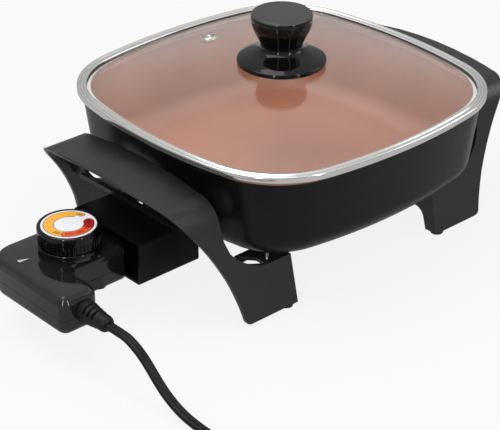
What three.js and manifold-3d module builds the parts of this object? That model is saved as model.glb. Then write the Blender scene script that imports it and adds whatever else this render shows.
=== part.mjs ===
// Electric skillet: a square die-cast pan on two moulded handle and leg units, with a loose glass
// lid and a plug-in temperature control whose cord lies coiled. Millimetres, +Z up.
import * as THREE from "three";
import { mergeVertices } from "three/addons/utils/BufferGeometryUtils.js";
import Module from "manifold-3d";

const wasm = await Module();
wasm.setup();

// Driving dimensions. Heights are measured from the table, widths from the middle of the pan.
const seatGap = 0.3;
const overrun = 4;

// Pan: a bowed square outline, a drafted wall with a round foot, and a lip that carries the lid
const panHalf = 139.8;
const panCornerRadius = 62;
const panSideRadius = 440;
const panBottom = 53;
const panTop = 125.7;
const panWall = 3;
const panFloor = 4;
const panDraft = 6;
const panFootRadius = 20;
const panLipReach = 2.5;
const panLipThickness = 2.4;
const panLipBlend = 2.6;

// Cast bosses under the pan, for the handles and for the terminal shroud
const handleBossX = 98;
const handleBossRadius = 6;
const handleBossLength = 9.7;
const shroudBossX = 119;
const shroudBossY = 31;
const shroudBossRadius = 5;
const shroudBossLength = 8;
const pilotRadius = 1.9;
const pilotDepth = 8.5;

// Heating element, its terminals and the well of the heat sensor
const elementRadius = 3.75;
const elementLoopHalf = 76;
const elementLoopCorner = 30;
const elementLeadBend = 12;
const terminalX = 128;
const terminalSpacing = 25;
const terminalPinRadius = 2.4;
const terminalPinLength = 37;
const insulatorRadius = 4.5;
const insulatorLength = 7;
const wellRadius = 4.7;
const wellBoreRadius = 3.4;
const wellLength = 30;
const wellEnd = 3;

// Lid: a stainless band folded round a domed glass
const lidOverhang = 4;
const lidCornerEase = 16;
const bandSheet = 0.6;
const glassThickness = 2.8;
const glassRise = 20.3;
const glassFlat = 8.6;
const beadWidth = 3.2;
const beadRise = 0.7;
const grooveWidth = 1.8;
const bandLipWidth = 3;
const bandLipRise = 0.5;
const hemGap = 1.2;
const hemDepth = 5;
const knobHoleRadius = 3.4;
const ventY = 90;
const ventRadius = 6.75;
const ventNeckRadius = 5;
const ventBoreRadius = 2.6;
const ventFlange = 1;

// Knob of the lid with its screw, washer and gasket
const knobFlangeRadius = 36.5;
const knobFlangeEdge = 4;
const knobWaistRadius = 17.3;
const knobWaistHeight = 14.6;
const knobCupRadius = 25.1;
const knobCupHeight = 37.5;
const knobHeight = 42;
const knobTopRadius = 22.5;
const knobTopDish = 0.7;
const knobRound = 1.6;
const knobUnderLift = 0.9;
const knobBoreDepth = 14;
const gasketRadius = 11;
const gasketThickness = 1;
const washerRadius = 9;
const washerThickness = 1.2;
const knobScrewRadius = 2.4;
const knobScrewHeadRadius = 4.8;
const knobScrewHeadHeight = 3;

// Handle and leg unit, the far one; the other is the same part turned half round
const handleReach = 187;
const handleTop = 112.6;
const shelfCrown = 5;
const shelfThickness = 3;
const shelfPanGap = 6.2;
const shelfBend = 24;
const legWall = 3.5;
const legSplay = 0.225;
const legFootHalf = 107;
const legFootOuter = 133.5;
const legInner = 79.5;
const legToeRadius = 6;
const archHeight = 43;
const archStart = 106;
const archShoulderStep = 4;
const archShoulderHeight = 74;
const backPanelWall = 3;
const backPanelBottom = 67;
const slotBottom = 70.5;
const slotTop = 98;
const slotSideInset = 31;
const slotEndRadius = 13;
const slotLip = 1.8;
const webThickness = 3;
const webSideInset = 36;
const handleBossInset = 17;
const webEnd = 115;
const webSlant = 13;
const webRib = 4;
const gussetWall = 3;
const gussetToeInset = 13.2;
const gussetStep = 21;
const gussetToeTop = 14;
const footPlateThickness = 2.5;
const footPlateEnd = 97;
const footX = 86.6;
const footInset = 6.6;
const footRadius = 5.5;
const footHeight = 2.6;
const footStemRadius = 2.2;
const footBarbRadius = 2.8;
const footStemLength = 5.5;
const footHeadFlare = 0.5;

// Screws of the handles, the shroud and the control housing
const screwShankRadius = 1.6;
const screwShankPast = 6;
const screwHeadRadius = 3.8;
const screwHeadHeight = 2.4;
const screwSocketRadius = 1.4;
const screwSocketDepth = 1.3;

// Terminal shroud
const shroudMouth = 184;
const shroudHalf = 40.6;
const shroudBottom = 30;
const shroudWall = 2.2;
const shroudBack = 125;
const shroudCornerRadius = 3;
const shroudPanGap = 1;
const shroudLedgeStart = 142;
const shroudLedgeInner = 23;
const shroudLedgeThickness = 2.8;
const shroudLedgePast = 6;

// Control housing: an arm that lies along the side of the pan and a nose that reaches the shroud
const armOuter = 270;
const armWidth = 33.5;
const armFarStep = 24.5;
const armLow = -58;
const armHigh = 40;
const noseHalf = 24;
const noseEnd = 184.6;
const housingBottom = 29;
const housingTop = 60;
const housingSplit = 41;
const housingWall = 2.2;
const housingTopRound = 7;
const housingBottomRound = 4;
const armHighRadius = 20;
const armInnerRadius = 11;
const armLowRadius = 7;
const noseCornerRadius = 2.5;
const noseRootRadius = 4;
const housingPostRadius = 3.4;
const collarRadius = 22.6;
const collarWall = 2;
const collarHeight = 2.2;

// Plug block, contacts and sensor of the control
const blockHalf = 18;
const blockHeight = 18;
const blockEnd = 160;
const blockStart = 199;
const blockEdge = 2.5;
const sleeveWall = 1;
const sleeveLength = 19;
const stemRadius = 3;
const stemTail = 205;

// Thermostat inside the housing
const dialInset = 51;
const frameSheet = 1.5;
const frameHalf = 12;
const frameBackReach = 14;
const frameFrontReach = 16;
const frameLift = 4;
const frameHeight = 18.5;
const bladeThickness = 0.8;
const bladeWidth = 6;
const bladeOffset = 7.4;
const bladeLength = 29;
const bladeLift = 7.3;
const shaftRadius = 3;
const camRadius = 7;
const camThickness = 2;

// Dial
const dialRadius = 24.5;
const dialSkirt = 4.2;
const dialRibHeight = 14.5;
const dialRibs = 48;
const dialBand = 6.5;
const dialRibDepth = 0.9;
const dialCrown = 1.2;
const dialWall = 2.6;
const dialTopWall = 3;
const dialHubRadius = 6;
const dialFaceRadius = 22;
const dialFaceThickness = 1;

// Cord with its strain relief, coil, tie and plug
const cordWidth = 8;
const cordThickness = 5;
const reliefX = 250;
const reliefZ = 44.4;
const reliefNeckRadius = 5.2;
const reliefFlangeRadius = 7;
const reliefFlange = 1.6;
const reliefRootRadius = 9;
const reliefTipRadius = 6.6;
const reliefRoot = 6;
const reliefLength = 29;
const reliefRibs = 3;
const reliefGrooveDepth = 2.6;
const reliefGrooveShare = 0.45;
const reliefRibPitch = 4.6;
const coilOuterRadius = 48.5;
const coilPitch = 8.8;
const coilTurns = 2.5;
const coilClimbTurns = 0.5;
const layerGap = 0.7;
const tieWidth = 9;
const tieThickness = 0.8;
const plugLead = 40;
const plugLength = 30;
const plugWidth = 24;
const plugThickness = 14.5;
const plugNeckShare = 0.55;
const plugEdge = 3;
const bladeSpacing = 12.7;
const plugBladeHeight = 6.35;
const plugBladeThickness = 1.5;
const plugBladeLength = 17;
const plugSlotDepth = 3;

// Route of the free cord from its strain relief to the coil
const cordRoute = [
  [-250, -88, 44.4],
  [-250, -98, 44.4],
  [-250, -108, 44],
  [-250, -119.7, 39.8],
  [-249.5, -128, 33.8],
  [-248.7, -136, 25.5],
  [-248, -145, 17],
  [-247.5, -156, 10.2],
  [-247.2, -168, 6],
  [-247, -182, 4.2],
  [-247, -198, 3.7],
  [-247, -214, 3.6],
  [-247, -230, 3.6],
];

// Smoothness of the round forms
const sideSteps = 5;
const cornerSteps = 6;
const footSteps = 4;
const roundSides = 18;
const smallSides = 10;
const knobSides = 28;
const boreSides = 24;
const stemSides = 20;

// Heights and places that follow from the sizes above
const lidHalf = panHalf + panLipReach + lidOverhang;
const lidCornerRadius = panCornerRadius + lidCornerEase;
const lidSideRadius = panSideRadius + panLipReach + lidOverhang;
const bandBottom = panTop + seatGap;
const glassBottom = bandBottom + bandSheet + seatGap;
const glassEdgeTop = glassBottom + glassThickness;
const bandTop = glassEdgeTop + seatGap + bandSheet;
const glassInset = bandSheet + seatGap;
const glassHalf = lidHalf - glassInset;
const crown = glassEdgeTop + glassRise;
const socketZ = panBottom - seatGap - wellRadius;
const terminalY = terminalSpacing / 2;
const shelfInner = panHalf + shelfPanGap;
const archShoulder = shelfInner - archShoulderStep;
const backPanelOuter = shelfInner + backPanelWall;
const gussetToeHalf = legFootHalf - gussetToeInset;
const handleBossY = legFootHalf - handleBossInset;
const webInnerHalf = legFootHalf - webSideInset;
const footY = legFootHalf - footInset;
const slotHalf = legFootHalf - slotSideInset;
const armInner = armOuter - armWidth;
const armFarInner = armInner - armFarStep;
const dialX = armOuter - dialInset;
const frameBack = dialX + frameBackReach;
const frameFront = dialX - frameFrontReach;
const legBottom = footHeight + seatGap;
const webTop = panBottom - handleBossLength - seatGap;
const shroudTop = backPanelBottom - seatGap;
const blockBottom = socketZ - blockHeight / 2;
const blockTop = blockBottom + blockHeight;
const sleeveBoreRadius = terminalPinRadius + seatGap;
const sleeveRadius = sleeveBoreRadius + sleeveWall;
const wellMouthX = -terminalX;
const wellFloorX = wellMouthX + wellLength - wellEnd;
const frameBottom = housingBottom + housingWall + frameLift;
const frameTop = frameBottom + frameHeight;
const dialBottom = housingTop + collarHeight + seatGap;
const dialTop = dialBottom + dialSkirt + dialRibHeight;
const coilZ = tieThickness + seatGap + cordThickness / 2;
const coilCentre = new THREE.Vector2(cordRoute.at(-1)[0] - coilOuterRadius, cordRoute.at(-1)[1]);

const materials = {
  castCoating: finish(0x0d0d0e, 0.36, 0.1),
  mouldedBlack: finish(0x17171a, 0.62, 0),
  glossBlack: finish(0x0a0a0b, 0.12, 0),
  knobBlack: finish(0x0b0b0d, 0.1, 0),
  stainless: finish(0xd6d4d0, 0.22, 1),
  nickel: finish(0xb9b8b4, 0.3, 1),
  zincPlate: finish(0x9c9c9a, 0.4, 1),
  brass: finish(0xc29a4b, 0.32, 1),
  glass: finish(0xdfeae6, 0.03, 0, 0.28),
  ceramic: finish(0xe9e4d8, 0.55, 0),
  rubber: finish(0x121213, 0.9, 0),
  silicone: finish(0xc9c4b8, 0.7, 0),
  facePrint: finish(0xf4f4f2, 0.35, 0),
  cordBlack: finish(0x101011, 0.6, 0),
};

function finish(color, roughness, metalness, opacity = 1) {
  return new THREE.MeshStandardMaterial({
    color,
    roughness,
    metalness,
    opacity,
    transparent: opacity < 1,
  });
}

// Solids and booleans

function solid(geometry) {
  const bare = geometry.clone();
  bare.deleteAttribute("normal");
  bare.deleteAttribute("uv");
  const merged = mergeVertices(bare, 1e-4);
  const corner = merged.index.array;
  const kept = [];
  for (let i = 0; i < corner.length; i += 3) {
    const [a, b, c] = [corner[i], corner[i + 1], corner[i + 2]];
    if (a !== b && b !== c && c !== a) kept.push(a, b, c);
  }
  const vertProperties = new Float32Array(merged.attributes.position.array);
  if (signedVolume(vertProperties, kept) < 0) kept.reverse();
  const triVerts = new Uint32Array(kept);
  return new wasm.Manifold(new wasm.Mesh({ numProp: 3, vertProperties, triVerts }));
}

function signedVolume(position, index) {
  const corner = (i) => new THREE.Vector3().fromArray(position, 3 * index[i]);
  let volume = 0;
  for (let i = 0; i < index.length; i += 3) {
    volume += corner(i).dot(corner(i + 1).cross(corner(i + 2)));
  }
  return volume;
}

function geometryOf(body) {
  const { vertProperties, triVerts } = body.getMesh();
  const geometry = new THREE.BufferGeometry();
  geometry.setAttribute("position", new THREE.BufferAttribute(vertProperties, 3));
  geometry.setIndex(new THREE.BufferAttribute(triVerts, 1));
  const flat = geometry.toNonIndexed();
  flat.computeVertexNormals();
  return flat;
}

function piece(group, name, body, material) {
  const mesh = new THREE.Mesh(geometryOf(body), material);
  mesh.name = name;
  group.add(mesh);
  return mesh;
}

// Rings of equally many points become one closed skin. The stack closes on itself, or its two
// end rings are closed flat.
function loft(rings, closesOnItself = false) {
  const count = rings[0].length;
  const position = rings.flat().flatMap((p) => [p.x, p.y, p.z]);
  const index = [];
  const last = closesOnItself ? rings.length : rings.length - 1;
  for (let k = 0; k < last; k++) {
    const lower = k * count;
    const upper = ((k + 1) % rings.length) * count;
    for (let i = 0; i < count; i++) {
      const j = (i + 1) % count;
      index.push(lower + i, lower + j, upper + j, lower + i, upper + j, upper + i);
    }
  }
  if (!closesOnItself) {
    [0, rings.length - 1].forEach((k, end) => {
      for (const [a, b, c] of capFaces(rings[k])) {
        const face = end ? [a, b, c] : [c, b, a];
        index.push(...face.map((i) => k * count + i));
      }
    });
  }
  const geometry = new THREE.BufferGeometry();
  geometry.setAttribute("position", new THREE.Float32BufferAttribute(position, 3));
  geometry.setIndex(index);
  return solid(geometry);
}

// Triangles that close a flat ring, seen along the axis that it faces most
function capFaces(ring) {
  const normal = new THREE.Vector3();
  ring.forEach((p, i) => normal.add(p.clone().cross(ring[(i + 1) % ring.length])));
  const size = normal.toArray().map(Math.abs);
  const axis = size.indexOf(Math.max(...size));
  const [u, v] = [(axis + 1) % 3, (axis + 2) % 3];
  const flat = ring.map((p) => new THREE.Vector2(p.getComponent(u), p.getComponent(v)));
  const faces = THREE.ShapeUtils.triangulateShape(flat, []);
  return normal.getComponent(axis) < 0 ? faces.map(([a, b, c]) => [c, b, a]) : faces;
}

function extrude(shape, depth, round = 0, curveSegments = 6) {
  const options = { depth, curveSegments, bevelEnabled: false };
  if (round > 0) {
    options.bevelEnabled = true;
    options.depth = depth - 2 * round;
    options.bevelThickness = round;
    options.bevelSize = round;
    options.bevelOffset = -round;
    options.bevelSegments = 4;
  }
  const geometry = new THREE.ExtrudeGeometry(shape, options);
  return geometry.translate(0, 0, round);
}

// A plan outline between two heights
function prism(shape, bottom, top, round = 0, curveSegments = 6) {
  return solid(extrude(shape, top - bottom, round, curveSegments).translate(0, 0, bottom));
}

// A plan given for each inset, between two heights, with its lower and upper edges rounded
function softPrism(plan, bottom, top, bottomRound, topRound) {
  const quarter = (radius) => {
    const steps = radius > 0 ? cornerSteps / 2 : 0;
    return Array.from({ length: steps + 1 }, (_, i) => {
      const angle = steps ? (Math.PI / 2) * (i / steps) : 0;
      return [radius * (1 - Math.sin(angle)), radius * (1 - Math.cos(angle))];
    });
  };
  const lower = quarter(bottomRound).map(([inset, rise]) => [inset, bottom + rise]);
  const upper = quarter(topRound).map(([inset, drop]) => [inset, top - drop]);
  return loft([...lower, ...upper.reverse()].map(([inset, z]) => {
    return plan(inset).getPoints(2).slice(1).map((p) => new THREE.Vector3(p.x, p.y, z));
  }));
}

// An outline drawn in (x, z), made as thick as from one y to another
function slabAlongY(shape, from, to, curveSegments = 6) {
  const geometry = extrude(shape, to - from, 0, curveSegments);
  return solid(geometry.rotateX(Math.PI / 2).translate(0, to, 0));
}

// An outline drawn in (y, z), made as thick as from one x to another
function slabAlongX(shape, from, to, curveSegments = 6) {
  const geometry = extrude(shape, to - from, 0, curveSegments);
  return solid(geometry.rotateX(Math.PI / 2).rotateZ(Math.PI / 2).translate(from, 0, 0));
}

function block(x0, x1, y0, y1, z0, z1) {
  const geometry = new THREE.BoxGeometry(x1 - x0, y1 - y0, z1 - z0);
  return solid(geometry.translate((x0 + x1) / 2, (y0 + y1) / 2, (z0 + z1) / 2));
}

function post(radius, x, y, bottom, top, sides = smallSides) {
  const geometry = new THREE.CylinderGeometry(radius, radius, top - bottom, sides);
  return solid(geometry.rotateX(Math.PI / 2).translate(x, y, (bottom + top) / 2));
}

function rodAlongX(radius, from, to, y, z, sides = smallSides) {
  const geometry = new THREE.CylinderGeometry(radius, radius, to - from, sides);
  return solid(geometry.rotateZ(Math.PI / 2).translate((from + to) / 2, y, z));
}

// A body of revolution about +Z from (radius, height) pairs
function turned(profile, sides = roundSides) {
  const points = profile.map(([r, z]) => new THREE.Vector2(r, z));
  return solid(new THREE.LatheGeometry(points, sides).rotateX(Math.PI / 2));
}

function turnedAlongX(profile, y, z, sides = smallSides) {
  const points = profile.map(([r, x]) => new THREE.Vector2(r, x));
  const geometry = new THREE.LatheGeometry(points, sides).rotateZ(-Math.PI / 2);
  return solid(geometry.translate(0, y, z));
}

function roundedRect(x0, x1, y0, y1, radius) {
  const shape = new THREE.Shape();
  shape.moveTo(x0 + radius, y0);
  shape.lineTo(x1 - radius, y0);
  shape.absarc(x1 - radius, y0 + radius, radius, -Math.PI / 2, 0);
  shape.lineTo(x1, y1 - radius);
  shape.absarc(x1 - radius, y1 - radius, radius, 0, Math.PI / 2);
  shape.lineTo(x0 + radius, y1);
  shape.absarc(x0 + radius, y1 - radius, radius, Math.PI / 2, Math.PI);
  shape.lineTo(x0, y0 + radius);
  shape.absarc(x0 + radius, y0 + radius, radius, Math.PI, 1.5 * Math.PI);
  return shape;
}

function polygon(points) {
  return new THREE.Shape(points.map(([x, y]) => new THREE.Vector2(x, y)));
}

// Pan and its lid share one outline: a square with bowed sides and arcs tangent to them

function squareOutline(half, cornerRadius, sideRadius) {
  const drop = sideRadius - half;
  const reach = sideRadius - cornerRadius;
  const centre = (Math.sqrt(2 * reach ** 2 - drop ** 2) - drop) / 2;
  const swing = Math.atan2(centre, centre + drop);
  const cornerSwing = Math.PI / 2 - 2 * swing;
  const pivot = new THREE.Vector2();
  const points = [];
  for (let quarter = 0; quarter < 4; quarter++) {
    const put = (x, y) => {
      points.push(new THREE.Vector2(x, y).rotateAround(pivot, (quarter * Math.PI) / 2));
    };
    for (let i = 0; i < sideSteps; i++) {
      const angle = swing * ((2 * i) / sideSteps - 1);
      put(sideRadius * Math.cos(angle) - drop, sideRadius * Math.sin(angle));
    }
    for (let i = 0; i < cornerSteps; i++) {
      const angle = swing + (cornerSwing * i) / cornerSteps;
      put(centre + cornerRadius * Math.cos(angle), centre + cornerRadius * Math.sin(angle));
    }
  }
  return points;
}

function panRing(inset, z) {
  const outline = squareOutline(panHalf - inset, panCornerRadius - inset, panSideRadius - inset);
  return outline.map((p) => new THREE.Vector3(p.x, p.y, z));
}

function lidRing(inset, z) {
  const outline = squareOutline(lidHalf - inset, lidCornerRadius - inset, lidSideRadius - inset);
  return outline.map((p) => new THREE.Vector3(p.x, p.y, z));
}

// The quarter round between a flat bottom and an upright wall, as (inset, height) pairs
function footRound(inset, bottom, radius, steps = footSteps) {
  return Array.from({ length: steps + 1 }, (_, i) => {
    const angle = (Math.PI / 2) * (i / steps);
    return [inset + radius * (1 - Math.sin(angle)), bottom + radius * (1 - Math.cos(angle))];
  });
}

// The outside of the pan as a full block, grown by a clearance, which trims what stands near it
function panBlank(growth) {
  const wallFoot = footRound(panDraft - growth, panBottom - growth, panFootRadius);
  const profile = [...wallFoot, [-growth, panTop]];
  return loft(profile.map(([inset, z]) => panRing(inset, z)));
}

function makePan() {
  const lipBottom = panTop - panLipThickness;
  const inside = footRound(panDraft + panWall, panBottom + panFloor, panFootRadius - panWall);
  const profile = [
    ...footRound(panDraft, panBottom, panFootRadius),
    [0, lipBottom - panLipBlend],
    [-panLipReach * 0.5, lipBottom - panLipBlend * 0.4],
    [-panLipReach, lipBottom],
    [-panLipReach, panTop - panLipThickness * 0.3],
    [-panLipReach * 0.85, panTop],
    [panWall * 0.6, panTop],
    [panWall, panTop - panLipThickness * 0.5],
    ...inside.reverse(),
  ];
  let body = loft(profile.map(([inset, z]) => panRing(inset, z)));
  for (const [x, y, radius, length] of bossPlaces()) {
    const bottom = panBottom - length;
    body = body.add(post(radius, x, y, bottom, panBottom + panFloor / 2, roundSides));
    body = body.subtract(post(pilotRadius, x, y, bottom - overrun, bottom + pilotDepth));
  }
  return body;
}

function bossPlaces() {
  const places = [];
  for (const side of [-1, 1]) {
    places.push([-shroudBossX, side * shroudBossY, shroudBossRadius, shroudBossLength]);
    for (const end of [-1, 1]) {
      places.push([end * handleBossX, side * handleBossY, handleBossRadius, handleBossLength]);
    }
  }
  return places;
}

// Heating element: a round tube bent to a square loop, both of whose ends lead to the terminals
function makeElement() {
  const path = new THREE.Path();
  const loop = elementLoopHalf;
  const corner = elementLoopCorner;
  const bend = elementLeadBend;
  const bendX = -loop - bend;
  const bendY = terminalY + bend;
  const side = loop - corner;
  path.moveTo(-terminalX, -terminalY);
  path.lineTo(bendX, -terminalY);
  path.absarc(bendX, -bendY, bend, Math.PI / 2, 0, true);
  path.lineTo(-loop, -side);
  path.absarc(-side, -side, corner, Math.PI, 1.5 * Math.PI);
  path.lineTo(side, -loop);
  path.absarc(side, -side, corner, -Math.PI / 2, 0);
  path.lineTo(loop, side);
  path.absarc(side, side, corner, 0, Math.PI / 2);
  path.lineTo(-side, loop);
  path.absarc(-side, side, corner, Math.PI / 2, Math.PI);
  path.lineTo(-loop, bendY);
  path.absarc(bendX, bendY, bend, 0, -Math.PI / 2, true);
  path.lineTo(-terminalX, terminalY);
  const z = panBottom - seatGap - elementRadius;
  const route = path.getPoints(4).map((p) => new THREE.Vector3(p.x, p.y, z));
  const distinct = route.filter((p, i) => i === 0 || p.distanceTo(route[i - 1]) > 1e-3);
  return tube(distinct, ringSection(elementRadius, elementRadius, 8));
}

// A section swept along a route whose points are joined by straight runs, square to each
function tube(route, section) {
  const rings = route.map((p, i) => {
    const before = route[Math.max(i - 1, 0)];
    const after = route[Math.min(i + 1, route.length - 1)];
    const ahead = after.clone().sub(before).normalize();
    const across = new THREE.Vector3(-ahead.y, ahead.x, 0).normalize();
    const upward = ahead.clone().cross(across);
    return section.map((s) => {
      return p.clone().addScaledVector(across, s.x).addScaledVector(upward, -s.y);
    });
  });
  return loft(rings);
}

function ringSection(halfWidth, halfHeight, sides) {
  return Array.from({ length: sides }, (_, i) => {
    const angle = (2 * Math.PI * (i + 0.5)) / sides;
    return new THREE.Vector2(halfWidth * Math.cos(angle), halfHeight * Math.sin(angle));
  });
}

function makeTerminalPin(y) {
  const start = -terminalX - seatGap;
  const end = start - terminalPinLength;
  const tip = terminalPinRadius;
  return turnedAlongX(
    [
      [0, end],
      [tip * 0.5, end + tip * 0.12],
      [tip, end + tip],
      [tip, start],
      [0, start],
    ],
    y,
    socketZ,
  );
}

function makeInsulator(y) {
  const start = -terminalX - seatGap;
  const end = start - insulatorLength;
  const bore = terminalPinRadius + seatGap;
  const neck = (insulatorRadius + bore) / 2;
  return turnedAlongX(
    [
      [bore, end],
      [neck, end],
      [neck, (start + end) / 2],
      [insulatorRadius, (start + end) / 2],
      [insulatorRadius, start],
      [bore, start],
      [bore, end],
    ],
    y,
    socketZ,
  );
}

function makeSensorWell() {
  const inner = wellMouthX + wellLength;
  return turnedAlongX(
    [
      [0, inner],
      [wellRadius, inner],
      [wellRadius, wellMouthX],
      [wellBoreRadius, wellMouthX],
      [wellBoreRadius, wellFloorX],
      [0, wellFloorX],
    ],
    0,
    socketZ,
    roundSides,
  );
}

// Lid

function makeGlass() {
  const edge = squareOutline(
    lidHalf - glassInset,
    lidCornerRadius - glassInset,
    lidSideRadius - glassInset,
  );
  const flatShare = 1 - glassFlat / glassHalf;
  const ringShares = [1, flatShare, 0.82, 0.66, 0.48, 0.3, 0.14];
  const hole = knobHoleRadius / glassHalf;
  const surface = (lift) => [...ringShares, hole].map((share) => {
    const z = glassHeight(share) + lift;
    return edge.map((p) => {
      const round = p.clone().setLength(glassHalf);
      const at = p.clone().lerp(round, 1 - share).multiplyScalar(share);
      return new THREE.Vector3(at.x, at.y, z);
    });
  });
  const skin = loft([...surface(0), ...surface(-glassThickness).reverse()], true);
  return skin.subtract(ventTool(ventNeckRadius + seatGap, glassThickness * 2));
}

// Height of the outer face of the glass at a share of the way out from its middle
function glassHeight(share) {
  const flatShare = 1 - glassFlat / glassHalf;
  const out = Math.min(share / flatShare, 1);
  return glassEdgeTop + glassRise * (1 - out ** 2);
}

function ventPlace() {
  const share = ventY / glassHalf;
  const step = 1e-3;
  const slope = (glassHeight(share + step) - glassHeight(share)) / (step * glassHalf);
  return { z: glassHeight(share), tilt: Math.atan(slope) };
}

// Puts a body that stands on the origin onto the glass where the vent is, square to it
function atVent(body) {
  const { z, tilt } = ventPlace();
  return body.rotate([THREE.MathUtils.radToDeg(tilt), 0, 0]).translate([0, ventY, z]);
}

function ventTool(radius, reach) {
  return atVent(post(radius, 0, 0, -reach, reach, roundSides));
}

function makeVent() {
  const under = -glassThickness - seatGap;
  const over = seatGap;
  const rounded = ventFlange * 0.4;
  return atVent(turned([
    [ventBoreRadius, under - ventFlange],
    [ventRadius - rounded, under - ventFlange],
    [ventRadius, under],
    [ventNeckRadius, under],
    [ventNeckRadius, over],
    [ventRadius, over],
    [ventRadius, over + rounded],
    [ventRadius - rounded * 2, over + ventFlange],
    [ventBoreRadius + rounded, over + ventFlange],
    [ventBoreRadius, over + rounded],
    [ventBoreRadius, under - ventFlange],
  ]));
}

function makeBand() {
  const grooveStart = beadWidth;
  const lipStart = grooveStart + grooveWidth;
  const lipEnd = lipStart + bandLipWidth;
  const hem = lidOverhang + panLipReach + panWall + hemGap;
  const floor = bandBottom + bandSheet;
  const roof = bandTop - bandSheet;
  const profile = [
    [0, bandBottom],
    [0, bandTop - beadRise * 0.6],
    [beadWidth * 0.14, bandTop + beadRise * 0.55],
    [beadWidth * 0.45, bandTop + beadRise],
    [beadWidth * 0.8, bandTop + beadRise * 0.6],
    [grooveStart, bandTop - bandSheet * 0.4],
    [lipStart, bandTop - bandSheet * 0.4],
    [lipStart + bandLipWidth * 0.2, bandTop + bandLipRise],
    [lipStart + bandLipWidth * 0.7, bandTop + bandLipRise],
    [lipEnd, bandTop - bandSheet * 0.3],
    [lipEnd, roof],
    [bandSheet, roof],
    [bandSheet, floor],
    [hem + bandSheet, floor],
    [hem + bandSheet, bandBottom - hemDepth],
    [hem, bandBottom - hemDepth],
    [hem, bandBottom],
  ];
  return loft(profile.map(([inset, z]) => lidRing(inset, z)), true);
}

// Knob: one turned outline from the bore of its screw, round the flange and cup, to the dished top
function makeKnob() {
  const base = crown + seatGap;
  const bore = knobScrewRadius + seatGap;
  const outline = new THREE.Path();
  const edgeBase = base - knobUnderLift;
  const shoulder = edgeBase + knobFlangeEdge;
  const waist = base + knobWaistHeight;
  const cup = base + knobCupHeight;
  const top = base + knobHeight;
  outline.moveTo(bore, base);
  outline.lineTo(knobFlangeRadius * 0.5, base);
  outline.lineTo(knobFlangeRadius - knobRound, edgeBase);
  outline.quadraticCurveTo(knobFlangeRadius, edgeBase, knobFlangeRadius, edgeBase + knobRound);
  outline.lineTo(knobFlangeRadius, shoulder - knobRound);
  outline.quadraticCurveTo(
    knobFlangeRadius,
    shoulder,
    knobFlangeRadius - knobRound,
    shoulder + knobRound * 0.3,
  );
  outline.bezierCurveTo(
    knobFlangeRadius * 0.8,
    shoulder + knobWaistHeight * 0.3,
    knobWaistRadius,
    waist - knobWaistHeight * 0.38,
    knobWaistRadius,
    waist,
  );
  outline.bezierCurveTo(
    knobWaistRadius,
    waist + (cup - waist) * 0.22,
    knobCupRadius,
    cup - (cup - waist) * 0.42,
    knobCupRadius,
    cup,
  );
  outline.quadraticCurveTo(knobCupRadius, top, knobTopRadius, top);
  const points = outline.getPoints(3).map((p) => [p.x, p.y]);
  const boreTop = base + knobBoreDepth;
  return turned([[0, boreTop], [bore, boreTop], ...points, [0, top - knobTopDish]], knobSides);
}

function makeKnobFasteners() {
  const under = crown - glassThickness - seatGap;
  const hole = knobScrewRadius + seatGap;
  const gasketBottom = under - gasketThickness;
  const washerTop = gasketBottom - seatGap;
  const washerBottom = washerTop - washerThickness;
  const headTop = washerBottom - seatGap;
  const ring = (radius, bottom, top) => turned([
    [hole, bottom],
    [radius, bottom],
    [radius, top],
    [hole, top],
    [hole, bottom],
  ]);
  const headBottom = headTop - knobScrewHeadHeight;
  const screw = turned([
    [0, headBottom],
    [knobScrewHeadRadius * 0.7, headBottom],
    [knobScrewHeadRadius, headTop - knobScrewHeadHeight * 0.4],
    [knobScrewHeadRadius, headTop],
    [knobScrewRadius, headTop],
    [knobScrewRadius, crown + knobBoreDepth - seatGap],
    [0, crown + knobBoreDepth - seatGap],
  ]);
  const driveSlot = block(
    -knobScrewHeadRadius - overrun,
    knobScrewHeadRadius + overrun,
    -knobScrewHeadRadius * 0.13,
    knobScrewHeadRadius * 0.13,
    headBottom - overrun,
    headBottom + knobScrewHeadHeight * 0.4,
  );
  return {
    gasket: ring(gasketRadius, gasketBottom, under),
    washer: ring(washerRadius, washerBottom, washerTop),
    screw: screw.subtract(driveSlot),
  };
}

// Handle and leg unit: an arch of splayed walls and a shelf, cut to the side view of the leg

function splayHalf(z) {
  return legFootHalf - legSplay * z;
}

// The end view of the arch, drawn a wall thickness further in for its inner face
function archShape(inset, bottom) {
  const lean = Math.hypot(1, legSplay);
  const side = (z) => splayHalf(z) - inset * lean;
  const crownTop = handleTop - (inset * shelfThickness) / legWall;
  const top = crownTop - shelfCrown;
  const bend = shelfBend - inset;
  const cornerY = side(top);
  const run = bend / Math.tan((Math.PI / 2 + Math.atan(legSplay)) / 2) / lean;
  const shape = new THREE.Shape();
  shape.moveTo(-side(bottom), bottom);
  shape.lineTo(side(bottom), bottom);
  shape.lineTo(side(top - run), top - run);
  const flatEnd = cornerY - run * lean;
  shape.quadraticCurveTo(cornerY, top, flatEnd, top);
  shape.quadraticCurveTo(0, crownTop + shelfCrown, -flatEnd, top);
  shape.quadraticCurveTo(-cornerY, top, -side(top - run), top - run);
  return shape;
}

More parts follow.
